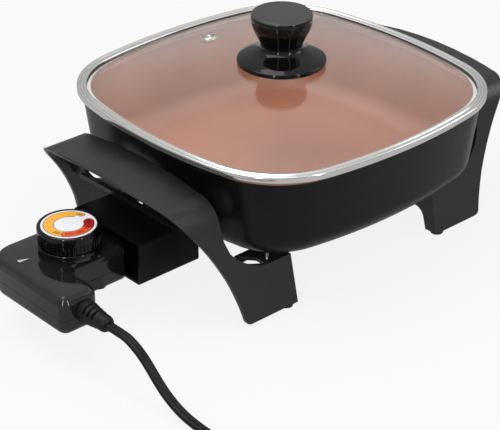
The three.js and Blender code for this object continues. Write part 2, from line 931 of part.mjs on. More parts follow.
// The side view of the leg and shelf. The outer edge falls from the shelf to the toe in one sweep.
function legShape() {
  const sweepShares = [
    [0.9, 0.93],
    [0.75, 0.83],
    [0.58, 0.715],
    [0.42, 0.59],
    [0.27, 0.45],
    [0.15, 0.315],
    [0.05, 0.16],
  ];
  const drop = handleTop - shelfThickness * 1.4 - legBottom;
  const sweep = handleReach - legFootOuter;
  const shape = new THREE.Shape();
  shape.moveTo(shelfInner, handleTop + overrun);
  shape.lineTo(archShoulder, archShoulderHeight);
  shape.quadraticCurveTo(
    archShoulder - (archShoulder - archStart) * 0.14,
    archHeight + (archShoulderHeight - archHeight) * 0.22,
    archStart,
    archHeight,
  );
  shape.lineTo(legInner, archHeight);
  shape.lineTo(legInner, legBottom);
  shape.lineTo(legFootOuter - legToeRadius, legBottom);
  shape.quadraticCurveTo(legFootOuter, legBottom, legFootOuter, legBottom + legToeRadius);
  const knots = sweepShares.map(([across, up]) => {
    return new THREE.Vector2(legFootOuter + sweep * across, legBottom + drop * up);
  });
  const tip = new THREE.Vector2(handleReach, legBottom + drop);
  shape.splineThru([...knots.reverse(), tip]);
  shape.lineTo(handleReach, handleTop + overrun);
  return shape;
}

function makeHandle() {
  const outer = slabAlongX(archShape(0, legBottom), legInner, handleReach);
  const inner = slabAlongX(archShape(legWall, legBottom - overrun), legInner - overrun,
    handleReach + overrun);
  const side = slabAlongY(legShape(), -legFootHalf, legFootHalf, 4);
  const arch = outer.intersect(side);
  const inboard = outer.intersect(inner);
  let body = arch.subtract(inner);
  body = body.add(backPanel().intersect(outer));
  for (const end of [-1, 1]) {
    body = body.add(platform(end).intersect(inboard.add(arch)));
  }
  for (const end of [-1, 1]) {
    const [x, y] = [handleBossX, end * handleBossY];
    body = body.subtract(post(screwShankRadius + seatGap * 2, x, y, webTop - overrun * 2,
      webTop + overrun));
    const plateTop = legBottom + footPlateThickness;
    body = body.subtract(post(footStemRadius + seatGap, footX, end * footY, -overrun, plateTop));
    body = body.subtract(post(footBarbRadius + seatGap, footX, end * footY, plateTop,
      plateTop + footStemLength));
  }
  return body;
}

// The upright panel behind the finger space, with its long slot and a lip along the slot's foot
function backPanel() {
  const inner = backPanelOuter - backPanelWall;
  const wide = legFootHalf;
  const panel = block(inner, backPanelOuter, -wide, wide, backPanelBottom,
    handleTop - shelfThickness / 2);
  const slot = roundedRect(-slotHalf, slotHalf, slotBottom, slotTop, slotEndRadius);
  const lip = block(
    backPanelOuter - backPanelWall / 2,
    backPanelOuter + slotLip,
    -slotHalf,
    slotHalf,
    backPanelBottom,
    slotBottom,
  );
  return panel.subtract(slabAlongX(slot, inner - overrun, backPanelOuter + overrun)).add(lip);
}

// One leg's inside: the web that bolts to the pan, the gusset at the inner edge and the foot plate
function platform(end) {
  const webBottom = webTop - webThickness;
  const outside = legFootHalf;
  const across = (near, far) => (end > 0 ? [near, far] : [-far, -near]);
  const webWaist = handleBossX + handleBossRadius;
  const web = prism(polygon([
    [legInner, end * webInnerHalf],
    [webEnd, end * webInnerHalf],
    [webWaist, end * (webInnerHalf + webSlant)],
    [webWaist, end * outside],
    [legInner, end * outside],
  ]), webBottom, webTop);
  const rib = block(legInner, webEnd, ...across(webInnerHalf, webInnerHalf + webThickness),
    webBottom - webRib, webTop);
  const step = webInnerHalf + (gussetToeHalf - webInnerHalf) * 0.4;
  const gusset = new THREE.Shape();
  gusset.moveTo(end * outside, legBottom);
  gusset.lineTo(end * gussetToeHalf, legBottom);
  gusset.lineTo(end * (gussetToeHalf - legSplay * gussetToeTop), gussetToeTop);
  gusset.quadraticCurveTo(end * (gussetToeHalf - gussetWall * 2), gussetStep, end * step, gussetStep);
  gusset.quadraticCurveTo(end * webInnerHalf, gussetStep, end * webInnerHalf, gussetStep * 1.4);
  gusset.lineTo(end * webInnerHalf, webTop);
  gusset.lineTo(end * outside, webTop);
  const plate = slabAlongX(gusset, legInner, legInner + gussetWall);
  const footPlate = block(legInner, footPlateEnd, ...across(gussetToeHalf, outside), legBottom,
    legBottom + footPlateThickness);
  const boss = post(handleBossRadius, handleBossX, end * handleBossY, webBottom, webTop,
    roundSides);
  return web.add(rib).add(plate).add(footPlate).add(boss);
}

function makeFoot() {
  const head = footHeight;
  const stemTop = head + seatGap + footPlateThickness + seatGap;
  return turned([
    [0, 0],
    [footRadius - footHeadFlare, 0],
    [footRadius, footHeadFlare],
    [footRadius, head],
    [footStemRadius, head],
    [footStemRadius, stemTop],
    [footBarbRadius, stemTop],
    [footStemRadius * 0.5, head + footStemLength],
    [0, head + footStemLength],
  ], smallSides);
}

// A pan-head screw driven upwards, with its head under the face at height zero
function makeScrew(grip) {
  const headTop = -seatGap;
  const headBottom = headTop - screwHeadHeight;
  const tip = grip + screwShankPast;
  const body = turned([
    [0, headBottom],
    [screwHeadRadius * 0.6, headBottom],
    [screwHeadRadius, headTop - screwHeadHeight * 0.5],
    [screwHeadRadius, headTop],
    [screwShankRadius, headTop],
    [screwShankRadius, tip - screwShankRadius],
    [0, tip],
  ], smallSides);
  return body.subtract(
    post(screwSocketRadius, 0, 0, headBottom - overrun, headBottom + screwSocketDepth, 6),
  );
}

// Terminal shroud: an open-mouthed box whose back is trimmed to the foot of the pan
function makeShroud() {
  const mouth = -shroudMouth;
  const panelFace = -(backPanelOuter - backPanelWall);
  const shell = roundedRect(-shroudHalf, shroudHalf, shroudBottom, shroudTop, shroudCornerRadius);
  const hollow = roundedRect(
    -shroudHalf + shroudWall,
    shroudHalf - shroudWall,
    shroudBottom + shroudWall,
    shroudTop - shroudWall,
    shroudCornerRadius - shroudWall / 2,
  );
  let body = slabAlongX(shell, mouth, -shroudBack, 3);
  body = body.subtract(slabAlongX(hollow, mouth - overrun, -shroudBack + overrun, 3));
  const ledgeTop = panBottom - shroudBossLength - seatGap;
  const ledgeEnd = -shroudBossX + shroudLedgePast;
  for (const side of [-1, 1]) {
    const outer = shroudHalf - shroudWall / 2;
    const across = side > 0 ? [shroudLedgeInner, outer] : [-outer, -shroudLedgeInner];
    const bottom = ledgeTop - shroudLedgeThickness;
    body = body.add(block(-shroudLedgeStart, ledgeEnd, ...across, bottom, ledgeTop));
    body = body.subtract(
      post(screwShankRadius + seatGap * 2, -shroudBossX, side * shroudBossY, bottom - overrun,
        ledgeTop + overrun),
    );
  }
  const behindPanel = block(
    panelFace,
    overrun,
    -shroudHalf - overrun,
    shroudHalf + overrun,
    shroudTop - shroudWall - shroudCornerRadius,
    shroudTop + overrun,
  );
  return body.subtract(behindPanel).subtract(panBlank(shroudPanGap));
}

// Control housing

function housingPlan(inset) {
  const x0 = -armOuter + inset;
  const x1 = -armInner - inset;
  const x2 = -noseEnd - inset;
  const x3 = -armFarInner - inset;
  const y0 = armLow + inset;
  const y1 = armHigh - inset;
  const nose = noseHalf - inset;
  const tight = (radius) => Math.max(radius - inset, radius * 0.15);
  const low = tight(armLowRadius);
  const high = tight(armHighRadius);
  const shoulder = tight(armInnerRadius);
  const tip = tight(noseCornerRadius);
  const root = noseRootRadius + inset;
  const quarter = Math.PI / 2;
  const farRiseShare = 0.4;
  const plan = new THREE.Shape();
  plan.moveTo(x0 + low, y0);
  plan.lineTo(x1 - low, y0);
  plan.absarc(x1 - low, y0 + low, low, -quarter, 0);
  plan.lineTo(x1, -nose - root);
  plan.absarc(x1 + root, -nose - root, root, Math.PI, quarter, true);
  plan.lineTo(x2 - tip, -nose);
  plan.absarc(x2 - tip, -nose + tip, tip, -quarter, 0);
  plan.lineTo(x2, nose - tip);
  plan.absarc(x2 - tip, nose - tip, tip, 0, quarter);
  plan.lineTo(x3 + root, nose);
  plan.quadraticCurveTo(x3, nose, x3 - root / 2, nose + (y1 - nose) * farRiseShare);
  plan.quadraticCurveTo(x3 - shoulder / 2, y1, x3 - shoulder, y1);
  plan.lineTo(x0 + high, y1);
  plan.absarc(x0 + high, y1 - high, high, quarter, Math.PI);
  plan.lineTo(x0, y0 + low);
  plan.absarc(x0 + low, y0 + low, low, Math.PI, 3 * quarter);
  return plan;
}

function housingScrewPlaces() {
  const back = (armOuter + armInner) / 2;
  const front = noseEnd + (dialX - noseEnd) * 0.52;
  const edge = housingWall * 0.7 + housingPostRadius;
  return [
    [-back, armHigh - edge - housingTopRound],
    [-back, armLow + armLowRadius + edge * 3],
    [-front - edge, -noseHalf + edge],
  ];
}

function makeUpperShell() {
  const bottom = housingSplit + seatGap;
  const outside = softPrism(housingPlan, bottom, housingTop, 0, housingTopRound);
  const inside = softPrism((inset) => housingPlan(inset + housingWall), bottom - overrun,
    housingTop - housingWall, 0, housingTopRound - housingWall);
  let body = outside.subtract(inside);
  const collar = post(collarRadius, -dialX, 0, housingTop - housingWall / 2,
    housingTop + collarHeight, roundSides);
  body = body.add(collar.subtract(post(collarRadius - collarWall, -dialX, 0,
    housingTop - overrun, housingTop + collarHeight + overrun, roundSides)));
  for (const [x, y] of housingScrewPlaces()) {
    body = body.add(post(housingPostRadius, x, y, bottom, housingTop - housingWall / 2));
    body = body.subtract(post(pilotRadius, x, y, bottom - overrun, bottom + pilotDepth));
  }
  body = body.subtract(post(shaftRadius + seatGap * 2, -dialX, 0, housingTop - overrun,
    housingTop + overrun, roundSides));
  return body.subtract(noseWindow()).subtract(reliefWindow());
}

function makeLowerShell() {
  const outside = softPrism(housingPlan, housingBottom, housingSplit, housingBottomRound, 0);
  const inside = softPrism((inset) => housingPlan(inset + housingWall),
    housingBottom + housingWall, housingSplit + overrun, housingBottomRound - housingWall, 0);
  let body = outside.subtract(inside);
  const head = screwHeadRadius + seatGap * 2;
  const headRoom = screwHeadHeight + seatGap * 2;
  for (const [x, y] of housingScrewPlaces()) {
    const seat = housingBottom + headRoom;
    body = body.add(post(head + housingWall / 2, x, y, housingBottom + housingWall / 2,
      housingSplit));
    body = body.subtract(post(head, x, y, housingBottom - overrun, seat));
    body = body.subtract(post(screwShankRadius + seatGap * 2, x, y, seat - overrun,
      housingSplit + overrun));
  }
  for (const [from, to] of frameStandSpans()) {
    body = body.add(block(from, to, -frameHalf, frameHalf, housingBottom + housingWall / 2,
      frameBottom - seatGap));
  }
  return body.subtract(noseWindow()).subtract(reliefWindow());
}

// The two ribs that the thermostat frame stands on
function frameStandSpans() {
  const front = -frameFront - housingWall;
  const back = -frameBack + housingWall;
  return [
    [front - housingWall, front],
    [back, back + housingWall],
  ];
}

function noseWindow() {
  const half = blockHalf + seatGap;
  const section = roundedRect(-half, half, blockBottom - seatGap, blockTop + seatGap, blockEdge);
  return slabAlongX(section, -noseEnd - housingTopRound - housingWall, -noseEnd + overrun, 3);
}

function reliefWindow() {
  const geometry = new THREE.CylinderGeometry(reliefNeckRadius + seatGap,
    reliefNeckRadius + seatGap, housingWall + overrun * 2, boreSides);
  return solid(geometry.translate(-reliefX, armLow + housingWall / 2, reliefZ));
}

function makePlugBlock() {
  const section = roundedRect(-blockHalf, blockHalf, blockBottom, blockTop, blockEdge);
  let body = slabAlongX(section, -blockStart, -blockEnd, 3);
  for (const side of [-1, 1]) {
    body = body.subtract(rodAlongX(sleeveRadius + seatGap, -blockEnd - sleeveLength - seatGap * 4,
      -blockEnd + overrun, side * terminalY, socketZ, boreSides));
  }
  return body.subtract(rodAlongX(stemRadius + seatGap, -blockStart - overrun,
    -blockEnd + overrun, 0, socketZ, boreSides));
}

function makeSleeve(y) {
  const front = -blockEnd - seatGap * 2;
  const back = front - sleeveLength;
  return turnedAlongX(
    [
      [sleeveBoreRadius, back],
      [sleeveRadius, back],
      [sleeveRadius, front],
      [sleeveBoreRadius, front],
      [sleeveBoreRadius, back],
    ],
    y,
    socketZ,
    stemSides,
  );
}

function makeStem() {
  const tip = wellFloorX - seatGap * 2;
  return turnedAlongX(
    [
      [0, tip],
      [stemRadius * 0.6, tip],
      [stemRadius, tip - stemRadius * 0.8],
      [stemRadius, -stemTail],
      [0, -stemTail],
    ],
    0,
    socketZ,
    stemSides,
  );
}

// Thermostat frame: a strip bent to a C that holds the shaft of the dial top and bottom
function makeFrame() {
  const back = -frameBack;
  const front = -frameFront;
  const outline = polygon([
    [back, frameBottom],
    [front, frameBottom],
    [front, frameBottom + frameSheet],
    [back + frameSheet, frameBottom + frameSheet],
    [back + frameSheet, frameTop - frameSheet],
    [front, frameTop - frameSheet],
    [front, frameTop],
    [back, frameTop],
  ]);
  const strip = slabAlongY(outline, -frameHalf, frameHalf);
  return strip.subtract(post(shaftRadius + seatGap, -dialX, 0, frameBottom + frameSheet,
    frameTop + overrun, boreSides));
}

function makeBlade() {
  const root = -frameBack + frameSheet + seatGap;
  const bottom = frameBottom + bladeLift;
  const middle = bladeOffset;
  return block(root, root + bladeLength, middle - bladeWidth / 2, middle + bladeWidth / 2, bottom,
    bottom + bladeThickness);
}

function makeShaft() {
  const foot = frameBottom + frameSheet + seatGap;
  const cam = frameBottom + bladeLift + bladeThickness + seatGap;
  const head = dialTop - dialTopWall - seatGap;
  const body = turned([
    [0, foot],
    [shaftRadius, foot],
    [shaftRadius, cam],
    [camRadius, cam],
    [camRadius, cam + camThickness],
    [shaftRadius, cam + camThickness],
    [shaftRadius, head],
    [0, head],
  ], boreSides);
  const flat = block(shaftRadius * 0.6, shaftRadius * 2, -camRadius, camRadius,
    housingTop + overrun, head + overrun);
  return body.subtract(flat);
}

// Dial: a ribbed cap with a hub that grips the shaft
function makeDial() {
  const ribBottom = dialBottom + dialSkirt;
  const outline = new THREE.Shape(Array.from({ length: dialRibs * 4 }, (_, i) => {
    const angle = (2 * Math.PI * i) / (dialRibs * 4);
    const radius = dialRadius - (i % 4 < 2 ? 0 : dialRibDepth);
    return new THREE.Vector2(radius * Math.cos(angle), radius * Math.sin(angle));
  }));
  const crownStart = dialTop - dialCrown;
  const ribTop = crownStart - dialBand;
  let body = prism(outline, ribBottom - seatGap, ribTop + seatGap);
  const smooth = dialRadius - dialRibDepth;
  body = body.add(turned([
    [0, dialBottom],
    [dialRadius - dialCrown / 3, dialBottom],
    [dialRadius, dialBottom + dialCrown / 3],
    [dialRadius, ribBottom - dialCrown / 3],
    [smooth, ribBottom],
    [smooth, ribTop],
    [dialRadius, ribTop + dialCrown / 3],
    [dialRadius, crownStart + dialCrown / 2],
    [dialRadius - dialCrown / 2, dialTop],
    [0, dialTop],
  ], knobSides));
  const cavity = turned([
    [dialHubRadius, dialBottom - overrun],
    [dialRadius - dialWall, dialBottom - overrun],
    [dialRadius - dialWall, dialTop - dialTopWall],
    [dialHubRadius, dialTop - dialTopWall],
    [dialHubRadius, dialBottom - overrun],
  ]);
  const socket = post(shaftRadius + seatGap, 0, 0, dialBottom - overrun,
    dialTop - dialTopWall, boreSides);
  const recess = post(dialFaceRadius + seatGap, 0, 0, dialTop - dialFaceThickness, dialTop + overrun,
    knobSides);
  return body.subtract(cavity).subtract(socket).subtract(recess);
}

function makeDialFace() {
  const bottom = dialTop - dialFaceThickness + seatGap;
  const top = bottom + dialFaceThickness;
  return turned([
    [0, bottom],
    [dialFaceRadius, bottom],
    [dialFaceRadius, top - seatGap],
    [dialFaceRadius - seatGap, top],
    [0, top],
  ], knobSides);
}

// Strain relief: a flange inside the housing, a neck through its wall and a ribbed sleeve outside
function makeRelief() {
  const outside = seatGap;
  const tip = outside + reliefLength;
  const grooves = Array.from({ length: reliefRibs }, (_, i) => {
    const start = outside + reliefRoot + i * reliefRibPitch;
    const radius = THREE.MathUtils.lerp(reliefRootRadius, reliefTipRadius, (i + 1) / (reliefRibs + 1));
    const end = start + reliefRibPitch * reliefGrooveShare;
    const floor = radius - reliefGrooveDepth;
    return [[radius, start], [floor, start], [floor, end], [radius, end]];
  }).flat();
  const inner = -housingWall - seatGap;
  const profile = [
    [0, inner - reliefFlange],
    [reliefFlangeRadius, inner - reliefFlange],
    [reliefFlangeRadius, inner],
    [reliefNeckRadius, inner],
    [reliefNeckRadius, outside],
    [reliefRootRadius - seatGap * 2, outside],
    [reliefRootRadius, outside + seatGap * 2],
    ...grooves,
    [reliefTipRadius, tip - reliefTipRadius * 0.45],
    [reliefTipRadius * 0.86, tip - reliefTipRadius * 0.14],
    [reliefTipRadius * 0.66, tip],
    [0, tip],
  ];
  const points = profile.map(([r, out]) => new THREE.Vector2(r, -out));
  const geometry = new THREE.LatheGeometry(points, roundSides - 4);
  return solid(geometry.translate(-reliefX, armLow, reliefZ));
}

// Cord

function makeCordRun() {
  const route = cordRoute.map(([x, y, z]) => new THREE.Vector3(x, y, z));
  route[0].y = armLow - seatGap * 2 - reliefLength;
  route.at(-1).y += seatGap;
  const curve = new THREE.CatmullRomCurve3(route, false, "centripetal");
  const section = ringSection(cordThickness / 2, cordWidth / 2, 8);
  const geometry = new THREE.ExtrudeGeometry(new THREE.Shape(section), {
    steps: 28,
    bevelEnabled: false,
    extrudePath: curve,
  });
  console.log(`cord_run: ${curve.getLength().toFixed(1)} mm long`);
  return solid(geometry);
}

// The coil spirals in on the table, climbs a layer at its inside and spirals out again
function coilPoint(turn) {
  const reverse = coilTurns / 2;
  const radius = coilOuterRadius - coilPitch * (reverse - Math.abs(turn - reverse));
  const climb = THREE.MathUtils.smoothstep(
    turn,
    reverse - coilClimbTurns / 2,
    reverse + coilClimbTurns / 2,
  );
  const angle = -2 * Math.PI * turn;
  return new THREE.Vector3(
    coilCentre.x + radius * Math.cos(angle),
    coilCentre.y + radius * Math.sin(angle),
    coilZ + climb * (cordThickness + layerGap),
  );
}

// Where the cord enters the plug: straight on from the last turn, down to the middle of the plug
function plugEntry() {
  const end = coilPoint(coilTurns);
  return new THREE.Vector3(end.x, end.y + plugLead, plugThickness / 2);
}

function coilRings(stepsPerTurn, sides) {
  const section = ringSection(cordWidth / 2, cordThickness / 2, sides);
  const steps = Math.round(coilTurns * stepsPerTurn);
  const route = Array.from({ length: steps + 1 }, (_, i) => coilPoint((coilTurns * i) / steps));
  const outward = route.map((p) => new THREE.Vector3(p.x - coilCentre.x, p.y - coilCentre.y, 0));
  for (const share of [0.25, 0.75, 1]) {
    const at = route[steps].clone().lerp(plugEntry(), share);
    at.z = THREE.MathUtils.lerp(route[steps].z, plugEntry().z, THREE.MathUtils.smoothstep(share, 0, 1));
    route.push(at);
    outward.push(outward[steps]);
  }
  return route.map((p, i) => section.map((s) => {
    const across = outward[i].clone().normalize().multiplyScalar(s.x);
    return new THREE.Vector3(p.x + across.x, p.y + across.y, p.z + s.y);
  }));
}

function makeCoil() {
  let length = 0;
  const samples = 400;
  for (let i = 0; i < samples; i++) {
    const here = coilPoint((coilTurns * i) / samples);
    length += here.distanceTo(coilPoint((coilTurns * (i + 1)) / samples));
  }
  length += coilPoint(coilTurns).distanceTo(plugEntry());
  console.log(`cord_coil: ${length.toFixed(1)} mm long, least gap ${coilGap().toFixed(2)} mm`);
  return loft(coilRings(24, 6));
}

// The least distance between points on the skin of the coil that are half a turn or more apart
function coilGap() {
  const perTurn = 72;
  const rings = coilRings(perTurn, 16);
  let least = Infinity;
  for (let i = 0; i < rings.length; i++) {
    for (let j = i + perTurn / 2; j < rings.length; j++) {
      if (rings[i][0].distanceTo(rings[j][0]) > cordWidth * 3) continue;
      for (const a of rings[i]) {
        for (const b of rings[j]) least = Math.min(least, a.distanceTo(b));
      }
    }
  }
  return least;
}

// A strap round the turns of the coil, on the side away from the object
function makeTie() {
  const reverse = coilTurns / 2;
  const outer = coilOuterRadius + cordWidth / 2 + seatGap;
  const inner = coilOuterRadius - coilPitch * reverse - cordWidth / 2 - seatGap;
  const top = coilZ + cordThickness * 1.5 + layerGap + seatGap;
  const shape = roundedRect(
    coilCentre.x - outer - tieThickness,
    coilCentre.x - inner + tieThickness,
    0,
    top + tieThickness,
    tieThickness * 2,
  );
  const hole = roundedRect(
    coilCentre.x - outer,
    coilCentre.x - inner,
    tieThickness,
    top,
    tieThickness,
  );
  shape.holes.push(hole);
  const strap = slabAlongY(shape, -tieWidth / 2, tieWidth / 2, 3);
  return strap.translate([-coilCentre.x, 0, 0]).rotate([0, 0, 90]).translate([
    coilCentre.x,
    coilCentre.y,
    0,
  ]);
}

// Plug: a moulded body that swells from the cord, with two flat blades
function makePlug() {
  const { x, y, z: middle } = plugEntry();
  const start = y + seatGap;
  const end = start + plugLength;
  const neck = cordWidth * plugNeckShare + plugEdge;
  const wide = plugWidth / 2;
  const plan = new THREE.Shape();
  plan.moveTo(x - neck, start);
  plan.lineTo(x + neck, start);
  plan.bezierCurveTo(x + neck, start + plugLength * 0.3, x + wide, start + plugLength * 0.3,
    x + wide, start + plugLength * 0.55);
  plan.lineTo(x + wide, end);
  plan.lineTo(x - wide, end);
  plan.lineTo(x - wide, start + plugLength * 0.55);
  plan.bezierCurveTo(x - wide, start + plugLength * 0.3, x - neck, start + plugLength * 0.3,
    x - neck, start);
  let body = prism(plan, 0, plugThickness, plugEdge, 5);
  for (const side of [-1, 1]) {
    const [from, to] = bladeSpan(x, side, seatGap);
    body = body.subtract(block(from, to, end - plugSlotDepth, end + overrun,
      middle - plugBladeHeight / 2 - seatGap, middle + plugBladeHeight / 2 + seatGap));
  }
  return body;
}

function bladeSpan(x, side, gap) {
  const middle = x + (side * bladeSpacing) / 2;
  return [middle - plugBladeThickness / 2 - gap, middle + plugBladeThickness / 2 + gap];
}

function makePlugBlade(side) {
  const { x, y, z } = plugEntry();
  const end = y + seatGap + plugLength;
  const [from, to] = bladeSpan(x, side, 0);
  const start = end - plugSlotDepth + seatGap;
  return block(from, to, start, start + plugBladeLength + plugSlotDepth,
    z - plugBladeHeight / 2, z + plugBladeHeight / 2);
}

// The object

const skillet = new THREE.Group();
const base = new THREE.Group();
const lid = new THREE.Group();
const control = new THREE.Group();
const dial = new THREE.Group();
const cord = new THREE.Group();

piece(base, "pan", makePan(), materials.castCoating);
piece(base, "heating_element", makeElement(), materials.nickel);
piece(base, "sensor_well", makeSensorWell(), materials.nickel);
for (const [name, y] of [["near", -terminalY], ["far", terminalY]]) {
  piece(base, `terminal_pin_${name}`, makeTerminalPin(y), materials.nickel);
  piece(base, `terminal_insulator_${name}`, makeInsulator(y), materials.ceramic);
}
piece(base, "terminal_shroud", makeShroud(), materials.mouldedBlack);
const handle = makeHandle();
piece(base, "far_side_handle", handle, materials.mouldedBlack);
piece(base, "probe_side_handle", handle.rotate([0, 0, 180]), materials.mouldedBlack);
const webBottomZ = webTop - webThickness;
const ledgeBottomZ = panBottom - shroudBossLength - seatGap - shroudLedgeThickness;
let legNumber = 0;
for (const end of [-1, 1]) {
  for (const side of [-1, 1]) {
    legNumber += 1;
    const screw = piece(base, `handle_screw_${legNumber}`, makeScrew(webThickness + seatGap),
      materials.zincPlate);
    screw.position.set(end * handleBossX, side * handleBossY, webBottomZ);
    const foot = piece(base, `foot_${legNumber}`, makeFoot(), materials.rubber);
    foot.position.set(end * footX, side * footY, 0);
  }
}
for (const [name, side] of [["near", -1], ["far", 1]]) {
  const screw = piece(base, `shroud_screw_${name}`, makeScrew(shroudLedgeThickness + seatGap),
    materials.zincPlate);
  screw.position.set(-shroudBossX, side * shroudBossY, ledgeBottomZ);
}

piece(lid, "lid_glass", makeGlass(), materials.glass);
piece(lid, "lid_rim", makeBand(), materials.stainless);
piece(lid, "vent_grommet", makeVent(), materials.stainless);
piece(lid, "lid_knob", makeKnob(), materials.knobBlack);
const fasteners = makeKnobFasteners();
piece(lid, "knob_gasket", fasteners.gasket, materials.silicone);
piece(lid, "knob_washer", fasteners.washer, materials.stainless);
piece(lid, "knob_screw", fasteners.screw, materials.stainless);

piece(control, "probe_upper_shell", makeUpperShell(), materials.glossBlack);
piece(control, "probe_lower_shell", makeLowerShell(), materials.glossBlack);
piece(control, "plug_block", makePlugBlock(), materials.mouldedBlack);
for (const [name, y] of [["near", -terminalY], ["far", terminalY]]) {
  piece(control, `contact_sleeve_${name}`, makeSleeve(y), materials.brass);
}
piece(control, "sensor_stem", makeStem(), materials.nickel);
piece(control, "thermostat_frame", makeFrame(), materials.zincPlate);
piece(control, "contact_blade", makeBlade(), materials.brass);
housingScrewPlaces().forEach(([x, y], i) => {
  const headRoom = screwHeadHeight + seatGap * 2;
  const grip = housingSplit - housingBottom - headRoom + seatGap;
  const screw = piece(control, `housing_screw_${i + 1}`, makeScrew(grip), materials.zincPlate);
  screw.position.set(x, y, housingBottom + headRoom);
});
piece(control, "strain_relief", makeRelief(), materials.rubber);

piece(dial, "dial_knob", makeDial(), materials.glossBlack);
piece(dial, "dial_face", makeDialFace(), materials.facePrint);
dial.position.set(-dialX, 0, 0);
piece(control, "adjusting_shaft", makeShaft(), materials.nickel).position.set(-dialX, 0, 0);

piece(cord, "cord_run", makeCordRun(), materials.cordBlack);
piece(cord, "cord_coil", makeCoil(), materials.cordBlack);
piece(cord, "cord_tie", makeTie(), materials.rubber);
piece(cord, "plug_body", makePlug(), materials.cordBlack);
piece(cord, "plug_blade_near", makePlugBlade(-1), materials.nickel);
piece(cord, "plug_blade_far", makePlugBlade(1), materials.nickel);

skillet.add(base, lid, control, dial, cord);
// The origin lies on the table, under the middle of the object without its cord
skillet.position.x = (armOuter - handleReach) / 2;

export default skillet;
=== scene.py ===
# %% [markdown]
# # Dressing an electric skillet
# The CAD model gives the true sizes of a square electric skillet: a die-cast pan on two moulded
# handle and leg units, a loose glass lid, and a plug-in temperature control on a coiled cord.
# Here each piece gets its real surface. We load the CAD model as a fixed frame, so every length is
# in metres and every piece lies where the maker would find it. The pan's middle lies 41.5 mm along
# X, so `shift` is added to each X that was measured from there.

# %% Load the frame
import math

import bmesh
import bpy
from mathutils import Matrix, Vector


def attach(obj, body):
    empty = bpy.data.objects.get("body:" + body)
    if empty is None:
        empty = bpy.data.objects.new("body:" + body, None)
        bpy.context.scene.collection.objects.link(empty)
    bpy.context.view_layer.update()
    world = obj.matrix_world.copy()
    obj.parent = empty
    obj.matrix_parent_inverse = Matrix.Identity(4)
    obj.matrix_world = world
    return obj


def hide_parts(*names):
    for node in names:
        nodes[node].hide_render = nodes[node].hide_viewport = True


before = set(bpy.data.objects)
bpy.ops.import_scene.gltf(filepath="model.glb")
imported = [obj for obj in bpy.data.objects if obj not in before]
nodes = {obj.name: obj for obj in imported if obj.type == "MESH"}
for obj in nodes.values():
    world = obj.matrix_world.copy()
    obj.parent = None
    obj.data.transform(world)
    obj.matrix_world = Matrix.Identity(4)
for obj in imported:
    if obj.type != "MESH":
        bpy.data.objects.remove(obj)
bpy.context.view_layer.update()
shift = 0.0415

# %% [markdown]
# ## Camera
# A product photograph is taken with a long lens from above one corner. The place of this camera was
# fitted to the corners of the lid, the feet and the dial. A camera looks along its own minus Z, so
# its matrix holds three unit vectors: right, up and back.

# %% Camera
def aim_camera(target, azimuth, elevation, distance, slide, rise, focal_px, width_px=500,
               sensor_mm=36):
    a, e = math.radians(azimuth), math.radians(elevation)
    back = Vector((math.sin(a) * math.cos(e), -math.cos(a) * math.cos(e), math.sin(e)))
    right = Vector((math.cos(a), math.sin(a), 0))
    up = back.cross(right)
    data = bpy.data.cameras.new("photo_camera")
    data.sensor_width = sensor_mm
    data.lens = focal_px * sensor_mm / width_px
    data.clip_start = 0.05
    camera = bpy.data.objects.new("photo_camera", data)
    bpy.context.scene.collection.objects.link(camera)
    turn = Matrix((right, up, back)).transposed().to_4x4()
    place = Vector(target) + back * distance + right * slide + up * rise
    camera.matrix_world = Matrix.Translation(place) @ turn
    bpy.context.scene.camera = camera
    print("camera:", round(data.lens, 1), "mm lens,", round(distance, 3), "m away")


aim_camera(target=(shift, 0, 0.1302), azimuth=-42.05, elevation=29.11, distance=1.44716,
           slide=-0.0255, rise=-0.10753, focal_px=1776.85)

# %% [markdown]
# ## Small helpers
# A finish is a material with one Principled shader. `add` puts a node in a tree, and `fill` gives
# its sockets their values or links, so that each recipe below stays short enough to read.

# %% Node helpers
def fill(tree, node, values):
    for key, value in values.items():
        if isinstance(value, bpy.types.NodeSocket):
            tree.links.new(value, node.inputs[key])
        else:
            node.inputs[key].default_value = value
    return node


def add(tree, kind, values=None, **settings):
    node = tree.nodes.new(kind)
    for name, value in settings.items():
        setattr(node, name, value)
    return fill(tree, node, values or {})


def new_finish(name, colour=None, **values):
    finish = bpy.data.materials.new(name)
    finish.use_nodes = True
    tree = finish.node_tree
    shader = tree.nodes["Principled BSDF"]
    if colour:
        shader.inputs["Base Color"].default_value = (*colour, 1)
    for key, value in values.items():
        shader.inputs[key.replace("_", " ")].default_value = value
    place = add(tree, "ShaderNodeTexCoord").outputs["Object"]
    return finish, tree, shader, place


def new_group(name, inputs, outputs, kind="ShaderNodeTree"):
    tree = bpy.data.node_groups.new(name, kind)
    for way, sockets in (("INPUT", inputs), ("OUTPUT", outputs)):
        for label, socket in sockets.items():
            tree.interface.new_socket(label, in_out=way, socket_type="NodeSocket" + socket)
    return tree, tree.nodes.new("NodeGroupInput").outputs, tree.nodes.new("NodeGroupOutput")


def dent(tree, shader, height, depth, strength=1.0):
    bump = add(tree, "ShaderNodeBump", {"Strength": strength, "Distance": depth, "Height": height})
    fill(tree, shader, {"Normal": bump.outputs[0]})


def combine(tree, operation, first, second):
    return add(tree, "ShaderNodeMath", {0: first, 1: second}, operation=operation).outputs[0]


def seen_directly(tree, rays):
    return combine(tree, "MAXIMUM", rays["Is Camera Ray"], rays["Is Transmission Ray"])


def mix_surface(tree, share, first, second, out):
    mix = add(tree, "ShaderNodeMixShader", {0: share, 1: first.outputs[0], 2: second.outputs[0]})
    fill(tree, out, {"Surface": mix.outputs[0]})


# %% [markdown]
# ## Studio
# The object stands on a pale table in soft light. A white plane would do, but lighting it to white
# would drown the black plastic. So its material glows white for camera rays and through glass, and
# half as bright for reflections. It keeps a faint shadow, because a part of what is seen is still
# the lit plane.

